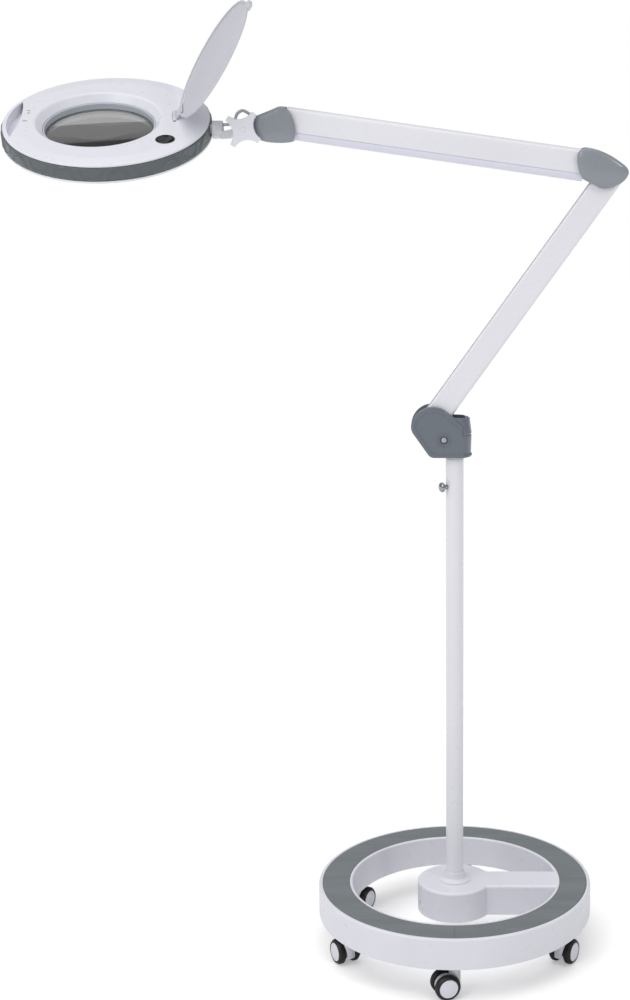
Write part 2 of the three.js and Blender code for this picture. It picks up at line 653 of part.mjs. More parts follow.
/** Two side plates riveted on both pivot pins, the spacer and the tie pins, under a pair of covers. */
function elbow() {
  const plates = [-1, 1].map((side) => (
    solid(slab(elbowOutline(3.5), ...spanOf(side, CHEEK_INNER, CHEEK_OUTER), 0, 3))));
  const pivots = [ELBOW_LOWER_PIVOT, ELBOW_UPPER_PIVOT]
    .map((at) => solid(pin(PIN_RADIUS, -PIN_REACH, PIN_REACH, at)));
  const spacer = solid(pin(4, -17, 17, [233, 1198]));
  const tiePins = [
    offsetBy(ELBOW_LOWER_PIVOT, LOWER_TIE), offsetBy(ELBOW_UPPER_PIVOT, UPPER_TIE),
  ].map((at) => solid(pin(TIE_PIN_RADIUS, 4, 17, at)));
  const cover = (y0, y1) => slab(elbowOutline(0), y0, y1, 4, 3);
  return group([0, 0, 0], [0, 0, 0],
    mesh('elbow_bracket', join(...plates, spacer, ...pivots, ...tiePins), STEEL),
    mesh('elbow_front_cover', cover(-27, -COVER_INNER), COVER_GREY),
    mesh('elbow_rear_cover', cover(COVER_INNER, 27), COVER_GREY));
}

// ---------------------------------------------------------------- front joint

/** The side view of the front cover: broad towards the arm and narrow towards the knob. */
function frontOutline() {
  const shape = new THREE.Shape();
  shape.moveTo(-293, 1265.5);
  shape.lineTo(-266, 1276);
  shape.quadraticCurveTo(-252, 1284, -244, 1272);
  shape.quadraticCurveTo(-232, 1252, -236.5, 1233);
  shape.quadraticCurveTo(-240, 1226, -256, 1226);
  shape.quadraticCurveTo(-276, 1226, -286, 1229.5);
  shape.quadraticCurveTo(-300, 1247, -293, 1265.5);
  return shape;
}

function frontJoint() {
  const eye = link(KNOB_CENTRE, [-285, 1247], 9.5);
  const boltHole = solid(pin(KNOB_BOLT_RADIUS + HOLE_GAP, -9, 9, KNOB_CENTRE));
  const tongue = cut(solid(slab(eye, -5.5, 5.5, 0, 8)), boltHole);
  const bridge = solid(box(-293, -279.5, -17.5, 17.5, 1236, 1260));
  const cheeks = [-1, 1].map((side) => {
    const [y0, y1] = spanOf(side, CHEEK_INNER, CHEEK_OUTER);
    const hole = solid(pin(PIN_RADIUS + HOLE_GAP, y0 - 1, y1 + 1, FRONT_PIVOT));
    return cut(solid(slab(link([-282.5, 1250], FRONT_PIVOT, 9.5), y0, y1)), hole);
  });
  const tieAt = offsetBy(FRONT_PIVOT, UPPER_TIE);
  const tieEar = solid(slab(link([-284, 1247], tieAt, 5), CHEEK_INNER, CHEEK_OUTER));
  const tiePin = solid(pin(TIE_PIN_RADIUS, 4, 17, tieAt));
  const coverSides = [-1, 1].map((side) => {
    const [y0, y1] = spanOf(side, COVER_INNER, 25);
    return solid(slab(frontOutline(), y0, y1, 3, 4));
  });
  const back = solid(box(-297, -293.5, -20, 20, 1232, 1262));
  const window = solid(box(-300, -290, -7, 7, 1230, 1258));
  return group([0, 0, 0], [0, 0, 0],
    mesh('front_bracket', join(tongue, bridge, ...cheeks, tieEar, tiePin), STEEL),
    mesh('front_cover', join(...coverSides, cut(back, window)), COVER_GREY),
    mesh('front_pin', pin(PIN_RADIUS, -PIN_REACH, PIN_REACH, FRONT_PIVOT), STEEL));
}

// ---------------------------------------------------------------- fork, knob and cable

const CABLE_END = [-344.5, 1252.5];

/** The height of the head's stub axis at x. */
const stubHeightAt = (x) => HEAD_CENTRE[1] - (x - HEAD_CENTRE[0]) * Math.tan(rad(HEAD_PITCH));

/** The star knob's face: four short arms with hollow flanks, drawn about its own centre. */
function starShape() {
  const arms = 4;
  const tip = 28;
  const half = 3.8;
  const waist = 14;
  const shape = new THREE.Shape();
  for (let arm = 0; arm < arms; arm += 1) {
    const angle = rad(-35) + (2 * Math.PI / arms) * arm;
    const next = angle + Math.PI / arms;
    const at = (r, across) => [
      r * Math.cos(angle) - across * Math.sin(angle), r * Math.sin(angle) + across * Math.cos(angle)];
    const after = angle + 2 * Math.PI / arms;
    const endX = tip * Math.cos(after) + half * Math.sin(after);
    const endY = tip * Math.sin(after) - half * Math.cos(after);
    if (arm === 0) shape.moveTo(...at(tip, -half));
    shape.lineTo(...at(tip, half));
    shape.quadraticCurveTo(waist * 0.62 * Math.cos(next), waist * 0.62 * Math.sin(next), endX, endY);
  }
  return shape;
}

function starKnob() {
  const face = slab(starShape(), -34, -27, 1.2, 5).translate(KNOB_CENTRE[0], 0, KNOB_CENTRE[1]);
  const boss = solid(pin(9, -28, -14, KNOB_CENTRE));
  const bolt = solid(pin(KNOB_BOLT_RADIUS, -15, 17, KNOB_CENTRE));
  return join(solid(face), boss, bolt);
}

/** The fork between the knob and the head: a collar round the stub, and two ears round the knob's bolt. */
function fork() {
  const stubZ = stubHeightAt(-352);
  const collar = solid(rod(COLLAR_RADIUS, 0, 15).rotateY(Math.PI / 2).translate(-360, 0, stubZ));
  const bore = solid(rod(STUB_RADIUS + GAP, -2, 12.5).rotateY(Math.PI / 2).translate(-360, 0, stubZ));
  const cableHole = solid(rod(2.9, 0, 30, SMALL).rotateY(Math.PI / 2).translate(-350, 0, CABLE_END[1]));
  const prong = solid(box(-347, -334, -12, 12, stubZ - 13, stubZ - 1));
  const cheeks = [-1, 1].map((side) => {
    const [y0, y1] = spanOf(side, 6.2, 12);
    const shape = link([-338, stubZ - 7], KNOB_CENTRE, 6);
    const eye = solid(pin(9.5, y0, y1, KNOB_CENTRE));
    const hole = solid(pin(KNOB_BOLT_RADIUS + HOLE_GAP, y0 - 1, y1 + 1, KNOB_CENTRE));
    return cut(join(solid(slab(shape, y0, y1)), eye), hole);
  });
  return join(cut(collar, bore, cableHole), cut(prong, cableHole), ...cheeks);
}

function cable() {
  const path = new THREE.CatmullRomCurve3([
    [-299, 1262], [-306, 1269], [-315, 1273], [-323, 1268.5], [-326.5, 1260], [-331, 1254], CABLE_END,
  ].map(([x, z]) => new THREE.Vector3(x, 0, z)));
  return wire(path, 2.4, 20, 3);
}

// ---------------------------------------------------------------- head

// The head's own frame: X along the stub towards the fork, Z along the lens axis, and the
// origin on the stub's axis.

const opticPlace = (geometry) => geometry.translate(OPTIC_SHIFT, 0, 0).rotateZ(rad(OPTIC_TURN));

/** The same turn without the shift, for a solid. */
const turned = (manifold) => manifold.rotate([0, 0, OPTIC_TURN]);

/** The crescent grip at the end away from the fork, between two arcs. */
function gripSlot() {
  const outer = 146;
  const shape = new THREE.Shape();
  const start = rad(158);
  const end = rad(207);
  shape.absarc(0, 0, outer, start, end);
  shape.quadraticCurveTo(-119.6, -8.3, outer * Math.cos(start), outer * Math.sin(start));
  return shape;
}

function topShell() {
  const rim = RIM_HALF_HEIGHT;
  const dome = solid(lathe([
    [0, -rim], [149.4, -rim], [149.4, rim - 2.4], [HEAD_RADIUS - 1, rim - 2.2],
    [HEAD_RADIUS - 1, rim - 0.6], [130, rim + 2.4], [0, rim + 3],
  ], WIDE));
  const hollow = solid(lathe([
    [0, -rim - 1], [146.8, -rim - 1], [146.8, rim - 2], [128, rim], [0, rim],
  ], WIDE));
  const funnel = solid(opticPlace(lathe([
    [0, -rim - 1], [THROAT_RADIUS + 3, -rim - 1], [THROAT_RADIUS + 3, 1], [DISH_RADIUS + 3.5, rim + 1],
    [0, rim + 1],
  ], WIDE)));
  const dish = solid(opticPlace(lathe([
    [0, -rim - 1], [THROAT_RADIUS, -rim - 1], [THROAT_RADIUS, 3],
    [DISH_RADIUS, rim + 3.2], [DISH_RADIUS, 40], [0, 40],
  ], WIDE)));
  const slot = solid(plate(gripSlot(), 4, 40, 8));
  const socket = solid(rod(SWITCH_RADIUS + 1, -20, 40).translate(...SWITCH_PLACE));
  const stub = solid(rod(STUB_RADIUS, 145, STUB_END).rotateY(Math.PI / 2));
  const bed = turned(solid(box(HINGE_X - 6, HINGE_X + 6, -HINGE_HALF_WIDTH, HINGE_HALF_WIDTH, 8, rim + 0.5)));
  const shell = join(cut(dome, hollow.subtract(funnel)), stub, bed);
  const pinBore = turned(solid(pin(HINGE_PIN_RADIUS + GAP, -HINGE_HALF_WIDTH - 1, HINGE_HALF_WIDTH + 1,
    [HINGE_X, HINGE_Z])));
  return cut(join(cut(shell, dish, slot, socket, hingePocket()), ...hingeLugs()), pinBore);
}

/** Two knuckles that hold the lid's hinge pin. */
function hingeLugs() {
  return [-1, 1].map((side) => {
    const [y0, y1] = spanOf(side, HINGE_HALF_WIDTH - LUG_WIDTH, HINGE_HALF_WIDTH);
    return turned(solid(slab(link([HINGE_X, HINGE_Z], [HINGE_X, RIM_HALF_HEIGHT], 3.4), y0, y1)));
  });
}

/** A groove under the lid's barrel. */
function hingePocket() {
  const reach = HINGE_HALF_WIDTH - LUG_WIDTH + 0.5;
  return turned(solid(pin(BARREL_RADIUS + 0.7, -reach, reach, [HINGE_X, HINGE_Z])));
}

function gripRim() {
  const half = RIM_HALF_HEIGHT - 2.6;
  const stubHole = solid(rod(STUB_RADIUS + GAP, 140, 160).rotateY(Math.PI / 2));
  const band = lathe([
    [149.7, -half - 2.4], [HEAD_RADIUS + 0.6, -half - 2.4], [HEAD_RADIUS + 1.6, -half],
    [HEAD_RADIUS + 0.8, half - 3], [HEAD_RADIUS - 0.4, half - 0.1], [149.7, half - 0.1],
    [149.7, -half - 2.4],
  ], WIDE);
  return cut(solid(band), stubHole);
}

/** The underside: a shallow tray with an opening round the lens and a lip that shows below the rim. */
function bottomShell() {
  const top = -RIM_HALF_HEIGHT - GAP;
  const tray = solid(lathe([
    [0, top - 7], [138, top - 7], [148, top - 5.6], [HEAD_RADIUS + 0.8, top - 2.6],
    [HEAD_RADIUS + 0.8, top], [0, top],
  ], WIDE));
  const hollow = solid(lathe([[0, top + 1], [144, top + 1], [144, top - 2.4], [0, top - 5]], WIDE));
  const light = solid(opticPlace(rod(DIFFUSER_OUTER + 0.5, -60, 20, WIDE)));
  return cut(tray, hollow, light);
}

/** The glass: two domed faces on a short cylinder edge. */
function lens() {
  const steps = 3;
  const curve = (sign) => Array.from({ length: steps + 1 }, (_, i) => {
    const r = (LENS_RADIUS * i) / steps;
    return [r, LENS_DROP + sign * (LENS_EDGE + LENS_BULGE * (1 - (r / LENS_RADIUS) ** 2))];
  });
  return opticPlace(lathe([...curve(-1), ...curve(1).reverse()], WIDE));
}

/** The bezel that lines the throat, with a ledge that carries the glass. */
function lensRing() {
  const outer = THROAT_RADIUS - GAP;
  const seat = LENS_RADIUS + GAP;
  const ledge = LENS_DROP - LENS_EDGE - 2 * GAP;
  const top = 2;
  return opticPlace(lathe([
    [seat, ledge], [LENS_RADIUS - RING_LIP, ledge], [LENS_RADIUS - RING_LIP, ledge - RING_LIP],
    [outer, ledge - RING_LIP], [outer, top], [seat, top], [seat, ledge],
  ], WIDE));
}

function ledBoard() {
  const inner = THROAT_RADIUS + 9;
  const outer = DIFFUSER_OUTER - 4;
  const z = -10.5;
  const chips = Array.from({ length: LED_COUNT }, (_, index) => solid(
    box(-2.5, 2.5, -2, 2, z - 1, z + 0.5)
      .translate((inner + outer) / 2, 0, 0)
      .rotateZ((2 * Math.PI * index) / LED_COUNT)
      .translate(OPTIC_SHIFT, 0, 0)
      .rotateZ(rad(OPTIC_TURN))));
  return join(solid(opticPlace(ring(inner, outer, z, z + 1.6, WIDE))), ...chips);
}

/** The ring-shaped window under the lamps, from the lens's edge outward. */
function diffuser() {
  const low = -RIM_HALF_HEIGHT - 6.2;
  const inner = LENS_RADIUS - 1;
  return opticPlace(ring(inner, DIFFUSER_OUTER, low, low + 2.6, WIDE));
}

function rockerSwitch() {
  const half = SWITCH_RADIUS;
  const rocker = new THREE.Shape();
  rocker.moveTo(-half, 5);
  rocker.lineTo(-half, 14);
  rocker.lineTo(0, 12.2);
  rocker.lineTo(half, 16);
  rocker.lineTo(half, 5);
  rocker.closePath();
  return solid(slab(rocker, -half, half)).intersect(solid(rod(half, 0, 30)));
}

/** The lid, drawn closed about its hinge axis: the disc lies towards -X. */
function lid() {
  const centre = -LID_ARM - LID_RADIUS;
  const z = LID_RISE;
  const disc = solid(lathe([
    [0, z + 1.2], [LID_RADIUS - 3, z + 1.2], [LID_RADIUS - 3, z], [LID_RADIUS, z],
    [LID_RADIUS, z + LID_THICKNESS - 1], [LID_RADIUS - 8, z + LID_THICKNESS],
    [0, z + LID_THICKNESS + 1.6],
  ], WIDE).translate(centre, 0, 0));
  const tab = new THREE.Shape();
  tab.absarc(centre - LID_RADIUS + 2, 0, 10, Math.PI / 2, 1.5 * Math.PI);
  tab.lineTo(centre - LID_RADIUS + 14, -10);
  tab.lineTo(centre - LID_RADIUS + 14, 10);
  tab.closePath();
  const tongueHalf = HINGE_HALF_WIDTH - LUG_WIDTH - GAP;
  const tongue = solid(box(-LID_ARM - 6, 0, -tongueHalf, tongueHalf, z + 0.1, z + LID_THICKNESS - 1));
  const barrel = solid(pin(BARREL_RADIUS, -tongueHalf, tongueHalf, [0, 0]));
  const bore = solid(pin(HINGE_PIN_RADIUS + GAP, -tongueHalf - 1, tongueHalf + 1, [0, 0]));
  return cut(join(disc, solid(plate(tab, z, z + LID_THICKNESS - 1)), tongue, barrel), bore);
}

function head() {
  const open = group([HINGE_X, 0, HINGE_Z], [0, rad(LID_OPEN), 0], mesh('lid', lid(), WHITE));
  const hingePin = mesh('lid_hinge_pin',
    pin(HINGE_PIN_RADIUS, -HINGE_HALF_WIDTH, HINGE_HALF_WIDTH, [HINGE_X, HINGE_Z]), STEEL);
  const optic = group([0, 0, 0], [0, 0, rad(OPTIC_TURN)], open, hingePin);
  const rocker = group(SWITCH_PLACE, [0, 0, 0], mesh('rocker_switch', rockerSwitch(), BLACK));
  const parts = group([0, 0, 0], [rad(HEAD_ROLL), 0, 0],
    mesh('head_top_shell', topShell(), WHITE),
    mesh('grip_rim', gripRim(), RIM_GREY),
    mesh('head_bottom_shell', bottomShell(), WHITE),
    mesh('lens', lens(), GLASS),
    mesh('lens_ring', lensRing(), COVER_GREY),
    mesh('led_board', ledBoard(), BOARD_WHITE),
    mesh('diffuser', diffuser(), LIGHT_PLASTIC),
    optic, rocker);
  return group([HEAD_CENTRE[0], 0, HEAD_CENTRE[1]], [0, rad(HEAD_PITCH), 0], parts);
}

// ---------------------------------------------------------------- the lamp

const lamp = new THREE.Group();
lamp.add(base(), column(), shoulder(), lowerArm(), elbow(), upperArm(), frontJoint());
lamp.add(mesh('head_fork', fork(), LIGHT_PLASTIC));
lamp.add(mesh('star_knob', starKnob(), WHITE));
lamp.add(mesh('cable', cable(), LIGHT_PLASTIC));
lamp.add(head());
for (let index = 0; index < CASTER_COUNT; index += 1) lamp.add(caster(index));

export default lamp;
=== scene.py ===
"""The looks of a magnifying floor lamp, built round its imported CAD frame.

Sizes are in millimetres in the frame's own axes and are turned into metres when a mesh is made.
"""
import math

import bmesh
import bpy
import numpy as np
from mathutils import Matrix, Vector


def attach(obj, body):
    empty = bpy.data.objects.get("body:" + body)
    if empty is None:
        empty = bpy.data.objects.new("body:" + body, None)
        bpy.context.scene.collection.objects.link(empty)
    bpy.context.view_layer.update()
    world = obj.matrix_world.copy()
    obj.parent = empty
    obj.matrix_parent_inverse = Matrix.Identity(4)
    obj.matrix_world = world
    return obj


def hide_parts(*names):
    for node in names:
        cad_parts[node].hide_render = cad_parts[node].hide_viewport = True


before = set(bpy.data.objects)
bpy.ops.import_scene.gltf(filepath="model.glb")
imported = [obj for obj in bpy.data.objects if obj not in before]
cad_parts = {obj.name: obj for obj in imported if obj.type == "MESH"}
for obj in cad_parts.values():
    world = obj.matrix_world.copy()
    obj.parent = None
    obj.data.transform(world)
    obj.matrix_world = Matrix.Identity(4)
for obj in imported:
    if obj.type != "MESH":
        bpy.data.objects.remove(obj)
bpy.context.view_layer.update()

MM = 0.001
QUARTER = math.pi / 2

# ---------------------------------------------------------------- sizes shared with the frame

RING_OUTER = 221
RING_INNER = 166
BASE_HEIGHT = 50
HUB_RADIUS = 60
SPOKE_WIDTH = 60
INLAY_INNER = 171.3
INLAY_OUTER = 214.5
INLAY_DEPTH = 2.4
COLUMN_RADIUS = 14
COLUMN_TOP = 747.5
BUSH_TOP = 751.5
CASTER_COUNT = 6
CASTER_CIRCLE = 193
CASTER_TRAIL = 15
CASTER_STEER = {0: 18, 1: 180}
WHEEL_RADIUS = 20
WHEEL_WIDTH = 13
WHEEL_SPACING = 26
AXLE_HEIGHT = -34
SCREW_HEIGHT = 704
SCREW_TURN = -150
SHOULDER_BOTTOM = 751.8
SHOULDER_PIVOT = (-34, 796)
SHOULDER_BOLT = (-16.5, 780)
LOWER_LENGTH = 474
LOWER_LEAN = 35.7
UPPER_LENGTH = 468
UPPER_RISE = 8
ELBOW_UPPER_PIVOT = (205, 1193)
TIE_OFFSET = 15
KNOB_CENTRE = (-311, 1245.5)
HEAD_CENTRE = (-516.5, 1248.8)
HEAD_ROLL = 25
HEAD_PITCH = 1.3
HEAD_RADIUS = 153
RIM = 11.4
OPTIC_TURN = 7.5
OPTIC_SHIFT = -11.8
LENS_RADIUS = 80
LENS_DROP = -8.5
THROAT_RADIUS = 83
DISH_RADIUS = 92.5
LID_RADIUS = 95.2
LID_OPEN = 124
HINGE_X = 100
HINGE_Z = 14
LID_ARM = 12.5
LID_RISE = 1
LID_THICKNESS = 3
SWITCH_PLACE = (96, -65, 0)


def turned(axis, degrees):
    return Matrix.Rotation(math.radians(degrees), 4, axis)


def moved(x, y, z):
    return Matrix.Translation((x, y, z))


def polar(radius, degrees):
    return radius * math.cos(math.radians(degrees)), radius * math.sin(math.radians(degrees))


LOWER_TURN = turned("Y", LOWER_LEAN - 90)
LOWER_FRAME = moved(SHOULDER_PIVOT[0], 0, SHOULDER_PIVOT[1]) @ LOWER_TURN
UPPER_TURN = turned("Y", UPPER_RISE)
UPPER_FRAME = moved(ELBOW_UPPER_PIVOT[0], 0, ELBOW_UPPER_PIVOT[1]) @ UPPER_TURN
HEAD_FRAME = moved(HEAD_CENTRE[0], 0, HEAD_CENTRE[1]) @ turned("Y", HEAD_PITCH) @ turned("X", HEAD_ROLL)
HINGE_FRAME = HEAD_FRAME @ turned("Z", OPTIC_TURN)
OPTIC_FRAME = HINGE_FRAME @ moved(OPTIC_SHIFT, 0, 0)
LID_FRAME = HINGE_FRAME @ moved(HINGE_X, 0, HINGE_Z) @ turned("Y", LID_OPEN)
IDENTITY = Matrix.Identity(4)


# ---------------------------------------------------------------- outlines


class Outline:
    """A flat outline made of straight lines, quadratic curves and arcs."""

    def __init__(self, x, y):
        self.points = [(x, y)]

    def line(self, x, y):
        self.points.append((x, y))
        return self

    def quad(self, cx, cy, x, y, steps=14):
        x0, y0 = self.points[-1]
        for k in range(1, steps + 1):
            t = k / steps
            a, b, c = (1 - t) ** 2, 2 * t * (1 - t), t * t
            self.points.append((a * x0 + b * cx + c * x, a * y0 + b * cy + c * y))
        return self

    def arc(self, cx, cy, radius, start, end, steps=32):
        for k in range(steps + 1):
            x, y = polar(radius, start + (end - start) * k / steps)
            self.points.append((cx + x, cy + y))
        return self


def rounded(corners, steps=6):
    """A closed outline whose corners (x, y, radius) are rounded."""
    out = []
    for i, (x, y, radius) in enumerate(corners):
        here = np.array([x, y], float)
        if radius <= 0:
            out.append(here)
            continue
        before = np.array(corners[i - 1][:2], float) - here
        after = np.array(corners[(i + 1) % len(corners)][:2], float) - here
        lengths = np.linalg.norm(before), np.linalg.norm(after)
        before, after = before / lengths[0], after / lengths[1]
        half = math.acos(np.clip(before @ after, -1, 1)) / 2
        if half > QUARTER - 0.01:
            out.append(here)
            continue
        reach = min(radius / math.tan(half), 0.49 * lengths[0], 0.49 * lengths[1])
        radius = reach * math.tan(half)
        centre = here + (before + after) / np.linalg.norm(before + after) * radius / math.sin(half)
        start = here + before * reach - centre
        end = here + after * reach - centre
        turn = math.atan2(start[0] * end[1] - start[1] * end[0], start @ end)
        for k in range(steps + 1):
            angle = turn * k / steps
            c, s = math.cos(angle), math.sin(angle)
            out.append(centre + np.array([c * start[0] - s * start[1], s * start[0] + c * start[1]]))
    return [tuple(p) for p in out]


def clean(points, least=0.02):
    """The outline without points that repeat their neighbour."""
    kept = []
    for p in points:
        if not kept or math.dist(p, kept[-1]) > least:
            kept.append(p)
    if math.dist(kept[0], kept[-1]) <= least:
        kept.pop()
    return kept


def inset(points, distance):
    """The outline moved inward by a distance, corner by corner."""
    p = np.array(points, float)
    ahead = np.roll(p, -1, 0) - p
    ahead /= np.linalg.norm(ahead, axis=1)[:, None]
    behind = np.roll(ahead, 1, 0)
    area = np.sum(p[:, 0] * np.roll(p[:, 1], -1) - np.roll(p[:, 0], -1) * p[:, 1])
    sign = 1 if area > 0 else -1
    normals = [np.stack([-d[:, 1], d[:, 0]], 1) * sign for d in (ahead, behind)]
    total = normals[0] + normals[1]
    scale = 1 + np.sum(normals[0] * normals[1], axis=1)
    return p + total / np.maximum(scale, 0.35)[:, None] * distance


def circle(radius, segments=48, cx=0, cy=0):
    return [(cx + x, cy + y) for x, y in (polar(radius, 360 * k / segments) for k in range(segments))]


def link(a, b, radius, steps=16):
    """A bar with round ends about two points."""
    along = math.degrees(math.atan2(b[1] - a[1], b[0] - a[0]))
    out = Outline(0, 0)
    out.points = []
    out.arc(*a, radius, along + 90, along + 270, steps)
    out.arc(*b, radius, along - 90, along + 90, steps)
    return clean(out.points)


# ---------------------------------------------------------------- meshes


def new_object(name, verts, faces):
    mesh = bpy.data.meshes.new(name)
    mesh.from_pydata([tuple(c * MM for c in v) for v in verts], [], faces)
    work = bmesh.new()
    work.from_mesh(mesh)
    bmesh.ops.remove_doubles(work, verts=work.verts, dist=1e-6)
    bmesh.ops.delete(work, geom=[edge for edge in work.edges if edge.is_wire], context="EDGES")
    bmesh.ops.recalc_face_normals(work, faces=work.faces)
    work.to_mesh(mesh)
    work.free()
    obj = bpy.data.objects.new(name, mesh)
    bpy.context.scene.collection.objects.link(obj)
    return obj


def loft(loops, place=IDENTITY, endless=False):
    """Joins loops of equal length into a skin.

    Endless joins the last loop to the first; otherwise both ends are capped.
    """
    count = len(loops[0])
    verts = [place @ Vector(p) for loop in loops for p in loop]
    faces = []
    spans = len(loops) if endless else len(loops) - 1
    for i in range(spans):
        a, b = i * count, ((i + 1) % len(loops)) * count
        for k in range(count):
            n = (k + 1) % count
            faces.append((a + k, a + n, b + n, b + k))
    if not endless:
        faces.append(tuple(range(count)))
        last = (len(loops) - 1) * count
        faces.append(tuple(last + k for k in range(count)))
    return new_object("work", verts, faces)


def lathe(profile, segments=96, place=IDENTITY):
    """A body of revolution about Z from a closed profile of (radius, z)."""
    loops = []
    for k in range(segments):
        c, s = math.cos(2 * math.pi * k / segments), math.sin(2 * math.pi * k / segments)
        loops.append([(r * c, r * s, z) for r, z in profile])
    return loft(loops, place, endless=True)


def on_axis(axis, a, b, h):
    return {"X": (h, a, b), "Y": (a, h, b), "Z": (a, b, h)}[axis]


def extrude(points, low, high, axis="Y", edge=0.0, place=IDENTITY, steps=4):
    """An outline made thick along an axis, with both edges rounded."""
    points = clean(points)
    levels = [(0, low), (0, high)]
    if edge > 0:
        angles = [QUARTER * k / steps for k in range(steps + 1)]
        levels = [(edge * (1 - math.sin(t)), low + edge * (1 - math.cos(t))) for t in angles]
        levels += [(edge * (1 - math.sin(t)), high - edge * (1 - math.cos(t))) for t in reversed(angles)]
    loops = [[on_axis(axis, a, b, h) for a, b in inset(points, d)] for d, h in levels]
    return loft(loops, place)


def pillow(points, base, crown, power=2.6, rows=22, centre=None):
    """A soft dome over an outline in X-Z, from y = base out to y = crown."""
    points = np.array(clean(points), float)
    middle = points.mean(0) if centre is None else np.array(centre, float)
    loops = []
    for k in range(rows + 1):
        share = math.sin(QUARTER * (1 - k / rows)) if k < rows else 0.004
        height = (1 - share ** power) ** (1 / power)
        ring = middle + (points - middle) * share
        y = base + (crown - base) * height
        loops.append([(x, y, z) for x, z in ring])
    return loft(loops)


def rod(radius, low, high, axis="Z", at=(0, 0), segments=48, edge=0.0, place=IDENTITY):
    return extrude(circle(radius, segments, *at), low, high, axis, edge, place)


def block(x0, x1, y0, y1, z0, z1, place=IDENTITY):
    return extrude([(x0, z0), (x1, z0), (x1, z1), (x0, z1)], y0, y1, "Y", 0, place)


def sweep(path, radius, sides=12, closed=False, place=IDENTITY):
    """A round wire along a path of points."""
    path = [Vector(p) for p in path]
    count = len(path)
    normal = None
    loops = []
    for i, p in enumerate(path):
        before = path[i - 1] if closed or i > 0 else p
        after = path[(i + 1) % count] if closed or i < count - 1 else p
        along = (after - before).normalized()
        if normal is None:
            normal = along.orthogonal().normalized()
        normal = (normal - along * normal.dot(along)).normalized()
        side = along.cross(normal)
        loops.append([tuple(p + normal * (radius * math.cos(t)) + side * (radius * math.sin(t)))
                      for t in (2 * math.pi * k / sides for k in range(sides))])
    return loft(loops, place, endless=closed)


def settle(obj):
    """Applies every modifier, so the object's own mesh is final."""
    graph = bpy.context.evaluated_depsgraph_get()
    graph.update()
    mesh = bpy.data.meshes.new_from_object(obj.evaluated_get(graph))
    obj.modifiers.clear()
    old = obj.data
    obj.data = mesh
    bpy.data.meshes.remove(old)
    return obj


def boolean(obj, others, operation):
    for other in others:
        step = obj.modifiers.new("step", "BOOLEAN")
        step.operation = operation
        step.solver = "MANIFOLD"
        step.object = other
    settle(obj)
    for other in others:
        bpy.data.objects.remove(other)
    return obj


def join(obj, *others):
    return boolean(obj, others, "UNION")


def cut(obj, *others):
    return boolean(obj, others, "DIFFERENCE")


def bevelled(obj, width, segments=3, angle=35):
    step = obj.modifiers.new("edge", "BEVEL")
    step.width = width * MM
    step.segments = segments
    step.limit_method = "ANGLE"
    step.angle_limit = math.radians(angle)
    step.harden_normals = False
    return settle(obj)


def put(name, obj, body, material, replaces=(), smooth=32):
    """Names a finished piece, shades it, and hangs it on its body."""
    obj.name = name
    obj.data.name = name
    obj.data.materials.clear()
    obj.data.materials.append(material)
    obj.data.polygons.foreach_set("use_smooth", [True] * len(obj.data.polygons))
    obj.data.set_sharp_from_angle(angle=math.radians(smooth))
    weighted = obj.modifiers.new("normals", "WEIGHTED_NORMAL")
    weighted.keep_sharp = True
    weighted.weight = 80
    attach(obj, body)
    if replaces:
        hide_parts(*([replaces] if isinstance(replaces, str) else replaces))
    return obj


# ---------------------------------------------------------------- materials


def linear(r, g, b):
    def one(v):
        v /= 255
        return v / 12.92 if v <= 0.04045 else ((v + 0.055) / 1.055) ** 2.4
    return one(r), one(g), one(b)


class Nodes:
    """A small helper round one material's node tree."""

    def __init__(self, name):
        self.material = bpy.data.materials.new(name)
        self.material.use_nodes = True
        self.tree = self.material.node_tree
        self.shader = self.tree.nodes["Principled BSDF"]
        self.place = self.add("ShaderNodeTexCoord").outputs["Object"]

    def add(self, kind, **values):
        node = self.tree.nodes.new(kind)
        for key, value in values.items():
            if hasattr(node, key):
                setattr(node, key, value)
            else:
                node.inputs[key].default_value = value
        return node

    def link(self, out, into):
        self.tree.links.new(out, into)

    def noise(self, scale, detail=2.0, stretch=(1, 1, 1), roughness=0.5):
        mapping = self.add("ShaderNodeMapping")
        mapping.inputs["Scale"].default_value = stretch
        self.link(self.place, mapping.inputs["Vector"])
        node = self.add("ShaderNodeTexNoise", Scale=scale, Detail=detail, Roughness=roughness)
        self.link(mapping.outputs["Vector"], node.inputs["Vector"])
        return node.outputs["Fac"]

    def span(self, value, low, high):
        """Maps the middle of a noise, 0.3 to 0.7, to low to high."""
        node = self.add("ShaderNodeMapRange")
        node.inputs["From Min"].default_value = 0.3
        node.inputs["From Max"].default_value = 0.7
        node.inputs["To Min"].default_value = low
        node.inputs["To Max"].default_value = high
        self.link(value, node.inputs["Value"])
        return node.outputs["Result"]

    def tint(self, color, value, amount):
        """The colour made lighter and darker by a share of itself, following a noise."""
        node = self.add("ShaderNodeVectorMath", operation="SCALE")
        node.inputs[0].default_value = color
        self.link(self.span(value, 1 - amount, 1 + amount), node.inputs["Scale"])
        self.link(node.outputs["Vector"], self.shader.inputs["Base Color"])
        return node

    def bump(self, height, strength, distance):
        node = self.add("ShaderNodeBump", Strength=strength, Distance=distance * MM)
        self.link(height, node.inputs["Height"])
        return node

    def finish(self, *bumps):
        previous = None
        for node in bumps:
            if previous is not None:
                self.link(previous.outputs["Normal"], node.inputs["Normal"])
            previous = node
        if previous is not None:
            self.link(previous.outputs["Normal"], self.shader.inputs["Normal"])
        return self.material


